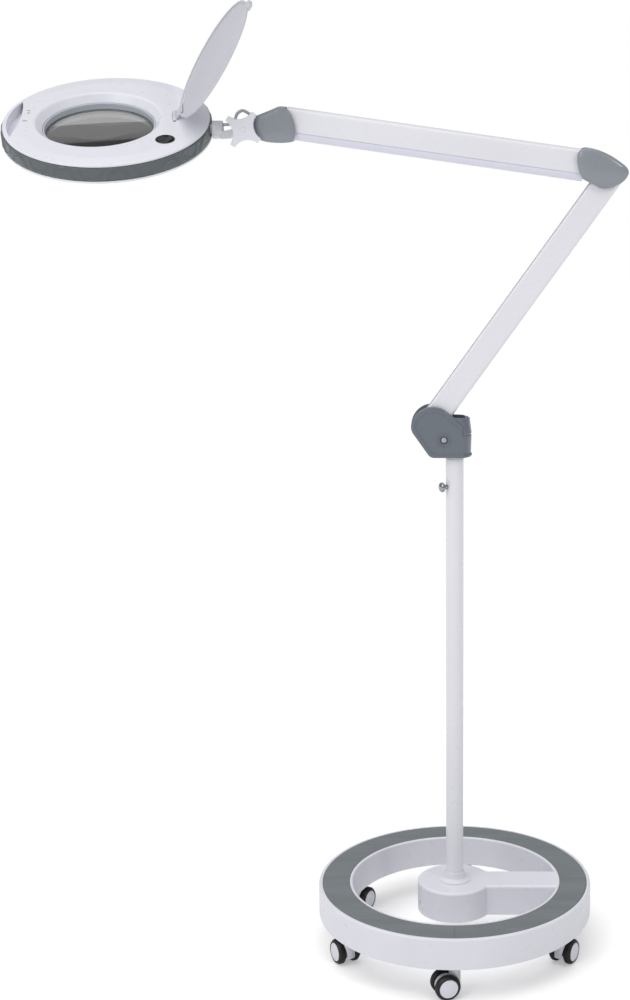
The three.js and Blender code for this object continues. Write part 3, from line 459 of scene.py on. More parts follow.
def moulded(name, color, rough, grain=2200, depth=0.006, vary=0.02, coat=0.0, rough_vary=0.06):
    """Injection-moulded plastic: fine texture, faint flow marks and slightly uneven gloss."""
    n = Nodes(name)
    n.tint(color, n.noise(9, 3), vary)
    n.link(n.span(n.noise(60, 4), rough - rough_vary, rough + rough_vary), n.shader.inputs["Roughness"])
    n.shader.inputs["Coat Weight"].default_value = coat
    n.shader.inputs["Coat Roughness"].default_value = 0.15
    n.shader.inputs["IOR"].default_value = 1.48
    wave = n.bump(n.noise(35, 1), 0.25, 0.03)
    fine = n.bump(n.noise(grain, 2), 0.5, depth)
    return n.finish(wave, fine)


def painted(name, color, rough=0.3):
    """Powder coat on metal: a slight orange peel under a thin gloss."""
    n = Nodes(name)
    n.tint(color, n.noise(6, 3), 0.015)
    n.link(n.span(n.noise(40, 3), rough - 0.05, rough + 0.07), n.shader.inputs["Roughness"])
    n.shader.inputs["Coat Weight"].default_value = 0.25
    n.shader.inputs["Coat Roughness"].default_value = 0.12
    peel = n.bump(n.noise(420, 2), 0.35, 0.008)
    return n.finish(peel)


def leathery(name, color):
    """Tread inlay with a fine leather grain and long soft streaks."""
    n = Nodes(name)
    streak = n.noise(26, 4, (0.35, 1.6, 1), 0.6)
    n.tint(color, streak, 0.09)
    n.link(n.span(n.noise(300, 3), 0.55, 0.8), n.shader.inputs["Roughness"])
    cells = n.add("ShaderNodeTexVoronoi", Scale=620)
    n.link(n.place, cells.inputs["Vector"])
    pebble = n.bump(cells.outputs["Distance"], 0.6, 0.22)
    crease = n.bump(n.noise(170, 5, (0.6, 1.4, 1)), 0.5, 0.25)
    return n.finish(crease, pebble)


def metal(name, color, rough, stretch=(1, 1, 12), scale=900, strength=0.2):
    """Drawn or turned metal with fine marks along one way."""
    n = Nodes(name)
    n.tint(color, n.noise(50, 4), 0.05)
    n.shader.inputs["Metallic"].default_value = 1.0
    marks = n.noise(scale, 3, stretch)
    n.link(n.span(marks, rough * 0.7, rough * 1.3), n.shader.inputs["Roughness"])
    return n.finish(n.bump(marks, strength, 0.02))


def cast(name, color):
    n = Nodes(name)
    n.tint(color, n.noise(80, 6), 0.25)
    n.shader.inputs["Metallic"].default_value = 0.7
    n.shader.inputs["Roughness"].default_value = 0.7
    return n.finish(n.bump(n.noise(350, 5), 0.8, 0.4))


def milky(name, color):
    n = Nodes(name)
    n.tint(color, n.noise(20, 2), 0.02)
    n.shader.inputs["Subsurface Weight"].default_value = 0.4
    n.shader.inputs["Subsurface Scale"].default_value = 4 * MM
    n.link(n.span(n.noise(900, 2), 0.4, 0.55), n.shader.inputs["Roughness"])
    return n.finish(n.bump(n.noise(1400, 2), 0.3, 0.03))


def glassy(name):
    """Optical glass with faint wiping marks, tinted grey as painted shade for the darker view seen through
    it. Its shadow is let through, as a lens's is.
    """
    n = Nodes(name)
    # Painted shade: the grey base colour darkens everything seen through the lens, standing in for the dim
    # inside of the head.
    n.shader.inputs["Base Color"].default_value = (0.33, 0.33, 0.325, 1)
    n.shader.inputs["Transmission Weight"].default_value = 1.0
    n.shader.inputs["IOR"].default_value = 1.5
    n.link(n.span(n.noise(18, 5, (1, 3, 1)), 0.0, 0.025), n.shader.inputs["Roughness"])
    clear = n.add("ShaderNodeBsdfTransparent", Color=(0.9, 0.92, 0.91, 1))
    rays = n.add("ShaderNodeLightPath")
    mix = n.add("ShaderNodeMixShader")
    n.link(rays.outputs["Is Shadow Ray"], mix.inputs["Fac"])
    n.link(n.shader.outputs["BSDF"], mix.inputs[1])
    n.link(clear.outputs["BSDF"], mix.inputs[2])
    n.link(mix.outputs["Shader"], n.tree.nodes["Material Output"].inputs["Surface"])
    return n.finish(n.bump(n.noise(30, 2), 0.05, 0.01))


WHITE = moulded("white_moulded", linear(229, 229, 237), 0.32, coat=0.2)
# Painted shade: the lid is the same white plastic as the head, given a darker colour for the grazing light
# that falls on it.
SHADED_LID_WHITE = moulded("white_lid_painted_shade", linear(204, 204, 212), 0.42)
WHITE_PAINT = painted("white_powder_coat", linear(230, 230, 236))
STRIP_WHITE = moulded("white_strip", linear(220, 220, 234), 0.38)
INLAY = leathery("grey_tread", linear(118, 124, 127))
SLATE = moulded("slate_moulded", linear(103, 110, 120), 0.34, 1300, 0.008, 0.03, coat=0.3)
COVER = moulded("grey_cover", linear(138, 144, 151), 0.3, 1500, 0.008, 0.03, coat=0.35)
GRIP = moulded("grip_rubber", linear(86, 94, 97), 0.4, 1700, 0.01, 0.05, coat=0.2)
BEZEL = moulded("bezel_grey", linear(190, 195, 203), 0.2, 1800, 0.006, 0.02, coat=0.3)
TYRE = moulded("tyre_black", linear(22, 22, 24), 0.45, 900, 0.08, 0.15)
BLACK = moulded("switch_black", linear(12, 12, 14), 0.32, 2000, 0.006, 0.1)
DARK = moulded("dark_marks", linear(52, 54, 58), 0.5)
PALE = moulded("pale_moulded", linear(220, 220, 226), 0.38)
SHEATH = moulded("cable_sheath", linear(196, 197, 200), 0.45, 1200, 0.05)
STEEL = metal("zinc_steel", linear(176, 178, 184), 0.32)
SPRING_STEEL = metal("spring_steel", linear(150, 152, 158), 0.25, (12, 1, 1))
CHROME = metal("polished_chrome", linear(158, 163, 166), 0.12, (1, 1, 1), 300, 0.05)
IRON = cast("raw_iron", linear(70, 70, 74))
BOARD = moulded("lamp_board", linear(232, 232, 226), 0.5)
MILKY = milky("milky_diffuser", linear(236, 236, 230))
GLASS = glassy("glass_with_painted_shade")

# ---------------------------------------------------------------- base


def hub_outline(margin, reach):
    """The hub with its spoke seen from above, grown by a margin."""
    radius = HUB_RADIUS + margin
    half = SPOKE_WIDTH / 2 + margin
    angle = math.degrees(math.asin(half / radius))
    out = Outline(reach, half)
    out.arc(0, 0, radius, angle, 360 - angle, 120)
    out.line(reach, -half)
    return out.points


def caster_place(index):
    angle = -90 + 360 / CASTER_COUNT * index
    x, y = polar(CASTER_CIRCLE, angle)
    return moved(x, y, 0) @ turned("Z", angle - 90 + CASTER_STEER.get(index, 0))


def base_shell():
    wall = 3
    top = BASE_HEIGHT
    body = lathe(rounded([
        (RING_INNER, 0, 1), (RING_INNER, top, 3), (INLAY_INNER - 0.4, top, 0.7),
        (INLAY_INNER - 0.4, top - INLAY_DEPTH, 0), (INLAY_OUTER + 0.4, top - INLAY_DEPTH, 0),
        (INLAY_OUTER + 0.4, top, 0.7), (RING_OUTER, top, 6), (RING_OUTER, 0, 1.5),
        (RING_OUTER - wall, 0, 0.8), (RING_OUTER - wall, top - 6, 2),
        (RING_INNER + wall, top - 6, 2), (RING_INNER + wall, 0, 0.8),
    ]), 240)
    fillet = 4.5
    levels = [(0, 0.0)] + [(-fillet * (1 - math.cos(t)), top - fillet * (1 - math.sin(t)))
                           for t in (QUARTER * k / 8 for k in range(9))]
    skin = [[(x, y, z) for x, y in hub_outline(margin, RING_INNER + 2)] for margin, z in levels]
    hub = loft(skin)
    hollow = extrude(hub_outline(-wall, RING_INNER + 1), -1, top - 4, "Z")
    hole = rod(COLUMN_RADIUS + 0.3, -1, top + 1, segments=64)
    hub = cut(hub, hollow, hole)
    posts = [rod(11, 1, top - 5, place=caster_place(i), edge=0.5) for i in range(CASTER_COUNT)]
    bores = [rod(6.2, 0, 40, place=caster_place(i), segments=32) for i in range(CASTER_COUNT)]
    return cut(join(body, hub, *posts), *bores)


def inlay(index):
    seam = 0.3 / INLAY_OUTER
    low, high = BASE_HEIGHT - INLAY_DEPTH + 0.05, BASE_HEIGHT + 0.3
    section = rounded([(INLAY_INNER, low, 0), (INLAY_OUTER, low, 0), (INLAY_OUTER, high, 1.1),
                       (INLAY_INNER, high, 1.1)])
    start, end = QUARTER * index + seam, QUARTER * (index + 1) - seam
    loops = []
    for k in range(61):
        angle = start + (end - start) * k / 60
        c, s = math.cos(angle), math.sin(angle)
        loops.append([(r * c, r * s, z) for r, z in section])
    return loft(loops)


put("ring_base", base_shell(), "base", WHITE, "base_shell", 40)
for index, place in enumerate(["right_rear", "left_rear", "left_front", "right_front"]):
    put(f"tread_{place}", inlay(index), "base", INLAY, f"inlay_{place}")

# ---------------------------------------------------------------- column

foot = BASE_HEIGHT + 0.3
collar = lathe(rounded([
    (COLUMN_RADIUS + 0.3, foot, 0), (26, foot, 0.2), (26, foot + 0.7, 0.3), (17.2, foot + 2.2, 14),
    (15.8, foot + 15, 0.6), (COLUMN_RADIUS + 0.3, foot + 15, 0.3),
], 12))
put("foot_collar", collar, "base", WHITE, "column_collar", 40)

tube = lathe(rounded([
    (COLUMN_RADIUS - 2, 5.3, 0.3), (COLUMN_RADIUS, 5.3, 0.3),
    (COLUMN_RADIUS, COLUMN_TOP, 0.5), (COLUMN_RADIUS - 2, COLUMN_TOP, 0.3),
]), 96)
screw_place = moved(0, 0, SCREW_HEIGHT) @ turned("Z", SCREW_TURN) @ turned("Y", 90)
cut(tube, rod(3.9, 5, 20, place=screw_place))
put("column", tube, "base", WHITE_PAINT, "column_tube")

bush = lathe(rounded([
    (8.3, COLUMN_TOP - 24, 0.3), (11.7, COLUMN_TOP - 24, 0.3), (11.7, COLUMN_TOP + 0.3, 0),
    (COLUMN_RADIUS, COLUMN_TOP + 0.3, 0.3), (COLUMN_RADIUS, BUSH_TOP, 0.6), (8.3, BUSH_TOP, 0.3),
]), 64)
put("bush", bush, "base", PALE, "column_bush")

screw = lathe(rounded([
    (0, 8.6, 0), (3.4, 8.6, 0.4), (3.4, 18.2, 0.5), (4.4, 18.6, 0.4), (4.4, 19.6, 0.2), (6.4, 19.7, 0.5),
    (7.7, 21.2, 0.7), (7.7, 23.6, 1.0), (6.2, 25.6, 2.0), (2.2, 26.7, 2), (0, 26.7, 0),
]), 64, screw_place)
put("clamp_screw", screw, "thumb_screw", CHROME, "thumb_screw")

# ---------------------------------------------------------------- casters


def caster_body():
    neck = 5.5
    outline = Outline(CASTER_TRAIL + 15.6, AXLE_HEIGHT - 5)
    outline.arc(CASTER_TRAIL, AXLE_HEIGHT, 16.4, -15, 195, 40)
    outline.line(CASTER_TRAIL - 15.6, AXLE_HEIGHT - 5)
    web = extrude(rounded([(x, y, 0) for x, y in outline.points]), -neck, neck, "Y", 1.4)
    pillar = rod(9, AXLE_HEIGHT - 6, -1, edge=1)
    flange = lathe(rounded([(0, -11, 0), (11, -11, 1), (12.4, -7, 2), (12.4, -0.3, 1), (0, -0.3, 0)]), 48)
    stem = rod(5.5, -3, 38, edge=1)
    keep_out = [rod(WHEEL_RADIUS + 1.2, side * WHEEL_SPACING / 2 - WHEEL_WIDTH / 2 - 0.7,
                    side * WHEEL_SPACING / 2 + WHEEL_WIDTH / 2 + 3, "Y", (CASTER_TRAIL, AXLE_HEIGHT),
                    64) for side in (-1, 1)]
    reach = WHEEL_SPACING / 2 + WHEEL_WIDTH / 2 - 4
    axle = rod(3, -reach, reach, "Y", (CASTER_TRAIL, AXLE_HEIGHT), 32, 0.3)
    return join(cut(join(web, pillar, flange, stem), *keep_out), axle)


def wheel_tread():
    """The tread of one wheel about Z, open for its cap on the +Z side."""
    half = WHEEL_WIDTH / 2
    return lathe(rounded([
        (3.4, -half, 0.3), (WHEEL_RADIUS - 2.4, -half, 0.8), (WHEEL_RADIUS, -half + 2.6, 2),
        (WHEEL_RADIUS, half - 4.2, 2.4), (WHEEL_RADIUS - 3.2, half - 0.5, 1.2), (15.2, half - 0.5, 0.5),
        (14.9, half - 3, 0.2), (3.4, half - 3, 0.3),
    ], 5), 72)


def wheel_cap():
    half = WHEEL_WIDTH / 2
    return lathe(rounded([
        (0, half - 2.8, 0), (14.7, half - 2.8, 0.2), (14.7, half - 0.9, 0.9), (13.6, half - 0.35, 0.5),
        (12.9, half - 0.55, 0.5), (6, half, 10), (0, half, 0),
    ], 5), 72)


def copy_at(master, place):
    """A copy of a finished mesh, which is in metres, moved by a placing in millimetres."""
    shift = place.copy()
    shift.translation *= MM
    obj = bpy.data.objects.new("copy", master.data.copy())
    obj.data.transform(shift)
    bpy.context.scene.collection.objects.link(obj)
    return obj


housing, tread, cap = masters = caster_body(), wheel_tread(), wheel_cap()
for index in range(CASTER_COUNT):
    place = caster_place(index)
    body = f"caster_{index + 1}"
    put(f"{body}_housing", copy_at(housing, place), body, PALE, f"{body}_body", 40)
    outward = -1 if CASTER_STEER.get(index, 0) == 180 else 1
    for side, way in (("outer", outward), ("inner", -outward)):
        spot = place @ moved(CASTER_TRAIL, way * WHEEL_SPACING / 2, AXLE_HEIGHT) @ turned("X", -90 * way)
        wheel = f"{body}_{side}"
        put(f"{wheel}_tread", copy_at(tread, spot), wheel, TYRE, f"{body}_wheel_{side}")
        put(f"{wheel}_cap", copy_at(cap, spot), wheel, WHITE)
for master in masters:
    bpy.data.objects.remove(master)

# ---------------------------------------------------------------- shoulder

NOSE = (SHOULDER_PIVOT[0] + 0.5, SHOULDER_PIVOT[1] + 0.9)
NOSE_RADIUS = 33.9


def shoulder_outline(by, right=13.0):
    """The shoulder's side view, moved inward by a distance."""
    low = SHOULDER_BOTTOM + by
    flank = np.array([-23.0, 33.0]) / math.hypot(23, 33)
    inward = np.array([flank[1], -flank[0]])
    start = np.array([-41.0, SHOULDER_BOTTOM + 5]) + inward * by
    corner = start + flank * (low - start[1]) / flank[1]
    centre = np.array(NOSE)
    foot_point = start + flank * ((centre - start) @ flank)
    apart = np.linalg.norm(centre - foot_point)
    radius = NOSE_RADIUS - by
    meet = foot_point + flank * math.sqrt(max(radius ** 2 - apart ** 2, 1))
    soft = max(7 - by * 0.4, 3)
    out = Outline(right, low)
    out.line(corner[0] + soft, low)
    out.quad(*corner, *(corner + flank * soft))
    out.line(*(meet - flank * 7))
    out.quad(*meet, *(centre + polar(radius, 172)))
    out.arc(*centre, radius, 172, 50, 48)
    tangent = centre + polar(radius, 50)
    out.line(right, tangent[1] - (right - tangent[0]) * math.tan(math.radians(40)))
    return clean(out.points)


def bead(by, right, y, radius=1.25):
    """The raised line that follows the outline on one outer face, open on the hub's side."""
    path = [(x, y, z) for x, z in shoulder_outline(by, right)]
    return sweep(path, radius, 10)


def shoulder_half(side):
    depth = 22.5
    edge = 2.4
    inner = 0.15
    steps = 6
    levels = [(0.0, side * inner)]
    levels += [(edge * (1 - math.cos(t)), side * (depth - edge * (1 - math.sin(t))))
               for t in (QUARTER * k / steps for k in range(steps + 1))]
    plate = loft([[(x, y, z) for x, z in inset(shoulder_outline(0), d)] for d, y in levels])
    hub = lathe(rounded([
        (0, SHOULDER_BOTTOM, 0), (25.6, SHOULDER_BOTTOM, 1.6), (27.2, SHOULDER_BOTTOM + 2.6, 1.4),
        (25.4, SHOULDER_BOTTOM + 6.5, 3), (26.2, 784, 0), (25.9, 785.6, 0.6), (24.9, 786.6, 0.6),
        (26.3, 788.8, 1), (23.4, 811, 1.8), (20.4, 813.4, 1.2), (0, 813.4, 0),
    ], 5), 120)
    keep = join(block(-90, 40, side * 0.15, side * 22.4, 700, 786.9),
                block(-90, 40, side * 0.15, side * 20.4, 786, 880))
    hub = boolean(hub, [keep], "INTERSECT")
    clear = 14.8
    slot = extrude([(-90, 700), (-22.5, 700), (-22.5, 786.3), (25, 817.1), (25, 880), (-90, 880)],
                   -clear, clear)
    bore = rod(8.3, SHOULDER_BOTTOM - 1, 779)
    pin_hole = rod(4.6, -19, 19, "Y", SHOULDER_PIVOT)
    bolt_hole = rod(3.3, -40, 40, "Y", SHOULDER_BOLT)
    span = (20, 40) if side > 0 else (-40, -20)
    recess = rod(6.4, *span, "Y", SHOULDER_BOLT)
    ring = sweep([(SHOULDER_BOLT[0] + x, side * 22.35, SHOULDER_BOLT[1] + z)
                  for x, z in circle(9.8, 64)], 1.2, 10, closed=True)
    half = join(plate, hub)
    half = join(half, bead(6.6, 9, side * 22.1), ring)
    return cut(half, slot, bore, pin_hole, bolt_hole, recess)


LOWER_TIE = (-TIE_OFFSET * math.cos(math.radians(25)), TIE_OFFSET * math.sin(math.radians(25)))
UPPER_TIE = polar(TIE_OFFSET, 250.5)


def beside(point, offset):
    return point[0] + offset[0], point[1] + offset[1]


rear = shoulder_half(1)
rear = join(rear, rod(2.8, 4, 16, "Y", beside(SHOULDER_PIVOT, LOWER_TIE), 24))
put("shoulder_near", shoulder_half(-1), "shoulder", SLATE, "shoulder_front_half", 38)
put("shoulder_far", rear, "shoulder", SLATE, "shoulder_rear_half", 38)
bolt = join(rod(3, -21, 21, "Y", SHOULDER_BOLT), rod(4.3, -22.9, -20.3, "Y", SHOULDER_BOLT, 48, 0.9),
            rod(5.4, 20.3, 22.6, "Y", SHOULDER_BOLT, 6, 0.4))
put("pivot_bolt", bolt, "shoulder", STEEL, "shoulder_bolt")
put("swivel_spigot", rod(8, COLUMN_TOP - 60, 777, edge=0.8), "shoulder", STEEL, "shoulder_spigot")
put("shoulder_pivot", rod(4, -18.7, 18.7, "Y", SHOULDER_PIVOT, 32, 0.5), "shoulder", STEEL,
    "shoulder_pin")

# ---------------------------------------------------------------- arms


def ears(x, towards, place, radius=8.6):
    made = []
    for side in (-1, 1):
        low, high = sorted((side * 10.6, side * 13))
        shape = link((x + towards * 34, 0), (x, 0), radius)
        made.append(cut(extrude(shape, low, high, "Y", 0, place), rod(4.6, low - 1, high + 1, "Y", (x, 0),
                                                                      32, 0, place)))
    return made


def tie_notch(x, side, place):
    reach = 19
    z0, z1 = sorted((side * 9, side * 40))
    return block(x - reach, x + reach, 10.2, 20, z0, z1, place)


def tie_rod(start, length, place):
    end = (start[0] + length, start[1])
    holes = [rod(3.4, 0, 20, "Y", at, 24, 0, place) for at in (start, end)]
    return cut(extrude(link(start, end, 4.8), 5.2, 9, "Y", 0.4, place), *holes)


def coil(start, length, z, place):
    """A close-wound balance spring."""
    turns = 26
    steps = turns * 20
    points = []
    for k in range(steps + 1):
        angle = 2 * math.pi * turns * k / steps
        points.append((start + length * k / steps, -4 + 4.8 * math.cos(angle), z + 4.8 * math.sin(angle)))
    return sweep(points, 1.1, 8, place=place)


def in_arm(offset, degrees):
    c, s = math.cos(math.radians(degrees)), math.sin(math.radians(degrees))
    return offset[0] * c - offset[1] * s, offset[0] * s + offset[1] * c


def lower_section():
    y, round_edge, lip, wall = 14, 6, 7, 2
    low, high = -13.2, 24.8
    outer = [(lip, high, 0.4), (y, high, round_edge), (y, low, round_edge), (-y, low, round_edge),
             (-y, high, round_edge), (-lip, high, 0.4)]
    inner = [(-lip, high - wall, 0.4), (-y + wall, high - wall, 4), (-y + wall, low + wall, 4),
             (y - wall, low + wall, 4), (y - wall, high - wall, 4), (lip, high - wall, 0.4)]
    return rounded(outer + inner, 8)


CREASE = -14


def upper_section():
    outer = Outline(0, 22.1)
    outer.quad(-8.2, 21.9, -11.6, 16.6, 10)
    outer.quad(-14.4, 9, -15, CREASE, 14)
    inner = Outline(-13, CREASE)
    inner.quad(-12.4, 8, -9.8, 15.4, 14)
    inner.quad(-7.2, 19.9, -0.01, 20.1, 10)
    return outer.points, inner.points


def upper_channel_section():
    outer, inner = upper_section()
    outer_all = [(-y, z) for y, z in reversed(outer)] + outer[1:]
    inner_all = inner + [(-y, z) for y, z in reversed(inner)]
    return clean(outer_all + inner_all, 0.05)


def strip_section():
    return rounded([
        (3, -25, 0.3), (10.6, -25, 4), (14.2, -18.4, 3), (14.9, CREASE - 0.3, 0.3),
        (12.8, CREASE - 0.3, 0.3), (12.1, -17.4, 2), (9.4, -23, 2), (2.5, -23, 0.3),
        (-2.5, -23, 0.3), (-9.4, -23, 2), (-12.1, -17.4, 2), (-12.8, CREASE - 0.3, 0.3),
        (-14.9, CREASE - 0.3, 0.3), (-14.2, -18.4, 3), (-10.6, -25, 4), (-3, -25, 0.3),
    ], 5)


place = LOWER_FRAME
channel = extrude(lower_section(), 5, LOWER_LENGTH - 5, "X", 0.25, place)
channel = cut(channel, tie_notch(0, 1, place), tie_notch(LOWER_LENGTH, 1, place))
channel = join(channel, *ears(0, 1, place), *ears(LOWER_LENGTH, -1, place))
put("lower_channel", channel, "lower_arm", WHITE_PAINT, "lower_arm")
tie = in_arm(LOWER_TIE, LOWER_LEAN - 90)
put("lower_tie", tie_rod(tie, LOWER_LENGTH, place), "lower_tie", STEEL, "lower_tie_rod")
put("lower_coil", coil(60, 190, 1, place), "lower_arm", SPRING_STEEL, "lower_spring")

place = UPPER_FRAME
channel = extrude(upper_channel_section(), -UPPER_LENGTH + 8, -8, "X", 0.2, place)
channel = cut(channel, tie_notch(0, -1, place), tie_notch(-UPPER_LENGTH, -1, place))
channel = join(channel, *ears(0, -1, place), *ears(-UPPER_LENGTH, 1, place))
put("upper_channel", channel, "upper_arm", WHITE_PAINT, "upper_arm")
strip = extrude(strip_section(), -UPPER_LENGTH + 16, -12, "X", 0.25, place)
put("upper_strip", strip, "upper_arm", STRIP_WHITE, "upper_arm_strip")
tie = in_arm(UPPER_TIE, UPPER_RISE)
put("upper_tie", tie_rod((tie[0] - UPPER_LENGTH, tie[1]), UPPER_LENGTH, place), "upper_tie", STEEL,
    "upper_tie_rod")
put("upper_coil", coil(-250, 190, 5, place), "upper_arm", SPRING_STEEL, "upper_spring")

# ---------------------------------------------------------------- elbow


def elbow_outline():
    out = Outline(181.6, 1206)
    out.quad(182, 1218, 197, 1219.5)
    out.quad(224, 1216, 250, 1195.5)
    out.quad(260, 1189, 258.5, 1180.5)
    out.quad(254, 1169, 240, 1163.5)
    out.quad(226, 1157, 216, 1160.5)
    out.line(190, 1174)
    out.quad(181.5, 1188, 181.6, 1206)
    return clean(out.points)


for side, name in ((-1, "front"), (1, "rear")):
    cover = pillow(elbow_outline(), side * 18.6, side * 27.2, 2.5, centre=(217, 1190))
    put(f"elbow_{name}", cover, "elbow", COVER, f"elbow_{name}_cover", 60)

# ---------------------------------------------------------------- front joint


def front_outline():
    out = Outline(-293, 1265.5)
    out.line(-266, 1276)
    out.quad(-252, 1284, -244, 1272)
    out.quad(-232, 1252, -236.5, 1233)
    out.quad(-240, 1226, -256, 1226)
    out.quad(-276, 1226, -286, 1229.5)
    out.quad(-300, 1247, -293, 1265.5)
    return clean(out.points)


sides = [pillow(front_outline(), side * 18.6, side * 25.2, 2.8, centre=(-262, 1250)) for side in (-1, 1)]
back = extrude(rounded([(-297, 1232, 2), (-293.5, 1232, 0), (-293.5, 1262, 0), (-297, 1262, 2)]), -20, 20)
window = block(-300, -290, -7, 7, 1230, 1258)
cap = join(sides[0], cut(back, window), sides[1])
put("head_end_cap", cap, "front_joint", COVER, "front_cover", 60)

# ---------------------------------------------------------------- knob, fork and cable


def star_outline():
    arms, tip, half, waist = 4, 28, 3.8, 8.7
    out = None
    for arm in range(arms):
        angle = -35 + 90 * arm
        c, s = math.cos(math.radians(angle)), math.sin(math.radians(angle))
        first = (tip * c + half * s, tip * s - half * c)
        second = (tip * c - half * s, tip * s + half * c)
        if out is None:
            out = Outline(*first)
        else:
            out.line(*first)
        out.line(*second)
        nc, ns = polar(1, angle + 90)
        following = (tip * nc + half * ns, tip * ns - half * nc)
        out.quad(*polar(waist, angle + 45), *following, 18)
    return clean(out.points)


star = extrude(star_outline(), -34, -27, "Y", 1.1, moved(KNOB_CENTRE[0], 0, KNOB_CENTRE[1]), 5)
ring = sweep([(KNOB_CENTRE[0] + x, -34, KNOB_CENTRE[1] + z) for x, z in circle(4.2, 40)], 0.6, 8, True)
tips = []
for arm in range(4):
    spot = moved(KNOB_CENTRE[0], 0, KNOB_CENTRE[1]) @ turned("Y", 35 - 90 * arm)
    tips.append(extrude(rounded([(25.6, -4.2, 0.8), (28.6, -4.2, 1.2), (28.6, 4.2, 1.2), (25.6, 4.2, 0.8)]),
                        -34.4, -26.6, "Y", 0.5, spot))
star = join(star, rod(9, -27.5, -14, "Y", KNOB_CENTRE, 40, 0.6), rod(4, -15, 17, "Y", KNOB_CENTRE, 32, 0.4),
            ring, *tips)
put("star_grip", star, "star_knob", WHITE, "star_knob", 40)


def stub_height(x):
    return HEAD_CENTRE[1] - (x - HEAD_CENTRE[0]) * math.tan(math.radians(HEAD_PITCH))


CABLE_END = (-344.5, 1252.5)


def fork():
    height = stub_height(-352)
    along = moved(-360, 0, height) @ turned("Y", 90)
    collar = rod(13.5, 0, 15, edge=0.9, place=along, segments=64)
    bore = rod(8.3, -2, 12.5, place=along)
    hole = rod(2.9, 0, 30, place=moved(-350, 0, CABLE_END[1]) @ turned("Y", 90), segments=24)
    prong = extrude(rounded([(-347, height - 13, 1), (-334, height - 13, 1), (-334, height - 1, 1),
                             (-347, height - 1, 1)]), -12, 12, "Y", 0.8)
    cheeks = []
    for side in (-1, 1):
        low, high = sorted((side * 6.2, side * 12))
        bar = extrude(link((-338, height - 7), KNOB_CENTRE, 6), low, high, "Y", 0.6)
        eye = rod(9.5, low, high, "Y", KNOB_CENTRE, 40, 0.6)
        cheeks.append(cut(join(bar, eye), rod(4.6, low - 1, high + 1, "Y", KNOB_CENTRE, 32)))
    return join(cut(collar, bore, hole), cut(prong, rod(
        2.9, 0, 30, place=moved(-350, 0, CABLE_END[1]) @ turned("Y", 90), segments=24)), *cheeks)


put("knuckle_fork", fork(), "fork", PALE, "head_fork", 40)


def spline(points, steps):
    """Catmull-Rom through the points."""
    p = [Vector(points[0]) * 2 - Vector(points[1])] + [Vector(q) for q in points]
    p.append(p[-1] * 2 - p[-2])
    out = []
    for i in range(1, len(p) - 2):
        for k in range(steps):
            t = k / steps
            a, b, c, d = p[i - 1:i + 3]
            out.append(0.5 * ((2 * b) + (c - a) * t + (2 * a - 5 * b + 4 * c - d) * t * t
                              + (3 * b - a - 3 * c + d) * t ** 3))
    out.append(p[-2])
    return out


path = [(-299, 1262), (-306, 1269), (-315, 1273), (-323, 1268.5), (-326.5, 1260), (-331, 1254), CABLE_END]
cable = sweep(spline([(x, 0, z) for x, z in path], 12), 2.3, 20)
put("cable_loop", cable, "fork", SHEATH, "cable")

# ---------------------------------------------------------------- head


def grip_slot(grow=0.0):
    out = Outline(0, 0)
    out.points = []
    out.arc(0, 0, 146 + grow, 158 - grow * 0.4, 207 + grow * 0.4, 40)
    start = polar(146 + grow, 158 - grow * 0.4)
    out.quad(-119.6 + grow * 1.6, -8.3, *start, 40)
    return clean(out.points)


def head_top(place):
    dome = lathe(rounded([
        (0, -RIM, 0), (149.4, -RIM, 0.4), (149.4, RIM - 2.4, 0), (HEAD_RADIUS - 1, RIM - 2.2, 0.4),
        (HEAD_RADIUS - 1.2, RIM + 0.6, 3.2), (130, RIM + 2.5, 40), (0, RIM + 3, 0),
    ], 8), 240, place)
    hollow = lathe(rounded([
        (0, -RIM - 1, 0), (146.8, -RIM - 1, 0), (146.8, RIM - 2, 2), (128, RIM, 2), (0, RIM, 0),
    ]), 160, place)
    optic = place @ turned("Z", OPTIC_TURN) @ moved(OPTIC_SHIFT, 0, 0)
    funnel = lathe([(0, -17), (THROAT_RADIUS + 3, -17), (THROAT_RADIUS + 3, 1),
                    (DISH_RADIUS + 3.5, RIM + 1), (0, RIM + 1)], 160, optic)
    dish = lathe(rounded([
        (0, -22, 0), (THROAT_RADIUS, -22, 0), (THROAT_RADIUS, 3, 0.8), (92.6, 13.9, 7), (108, 15.4, 0),
        (108, 40, 0), (0, 40, 0),
    ], 10), 240, optic)
    slot = extrude(grip_slot(), -2, 40, "Z", place=place)
    liner = extrude(grip_slot(1.6), -4, RIM + 1, "Z", place=place)
    switch = place @ moved(*SWITCH_PLACE)
    socket = rod(14.3, -20, 40, place=switch, segments=64)
    stub = rod(8, 145, 168, "X", (0, 0), 48, 0.8, place)
    hinge = place @ turned("Z", OPTIC_TURN)
    bed = block(HINGE_X - 6, HINGE_X + 6, -17, 17, 8, RIM + 0.5, hinge)
    pin_bore = rod(1.8, -18, 18, "Y", (HINGE_X, HINGE_Z), 24, 0, hinge)
    pocket = rod(3.9, -12.5, 12.5, "Y", (HINGE_X, HINGE_Z), 32, 0, hinge)
    lugs = []
    for side in (-1, 1):
        low, high = sorted((side * 12, side * 17))
        lugs.append(extrude(link((HINGE_X, HINGE_Z), (HINGE_X, RIM), 3.4), low, high, "Y", 0.5, hinge))
    shell = join(cut(dome, cut(hollow, funnel)), stub, liner, bed)
    return cut(join(cut(shell, dish, slot, socket, pocket), *lugs), pin_bore)


def relief(along, z, pitch):
    """Height of the grip's raised rings at a point of its outer face."""
    width = 1.1
    total = 0.0
    nearest = round(along / pitch)
    for n in (nearest - 1, nearest, nearest + 1):
        up = n % 2 == 0
        centre = 7.0 if up else -12.0
        for radius in (14.5, 18.0):
            away = math.hypot(along - n * pitch, z - centre) - radius
            total = max(total, math.exp(-(away / width) ** 2))
    return 0.95 * total


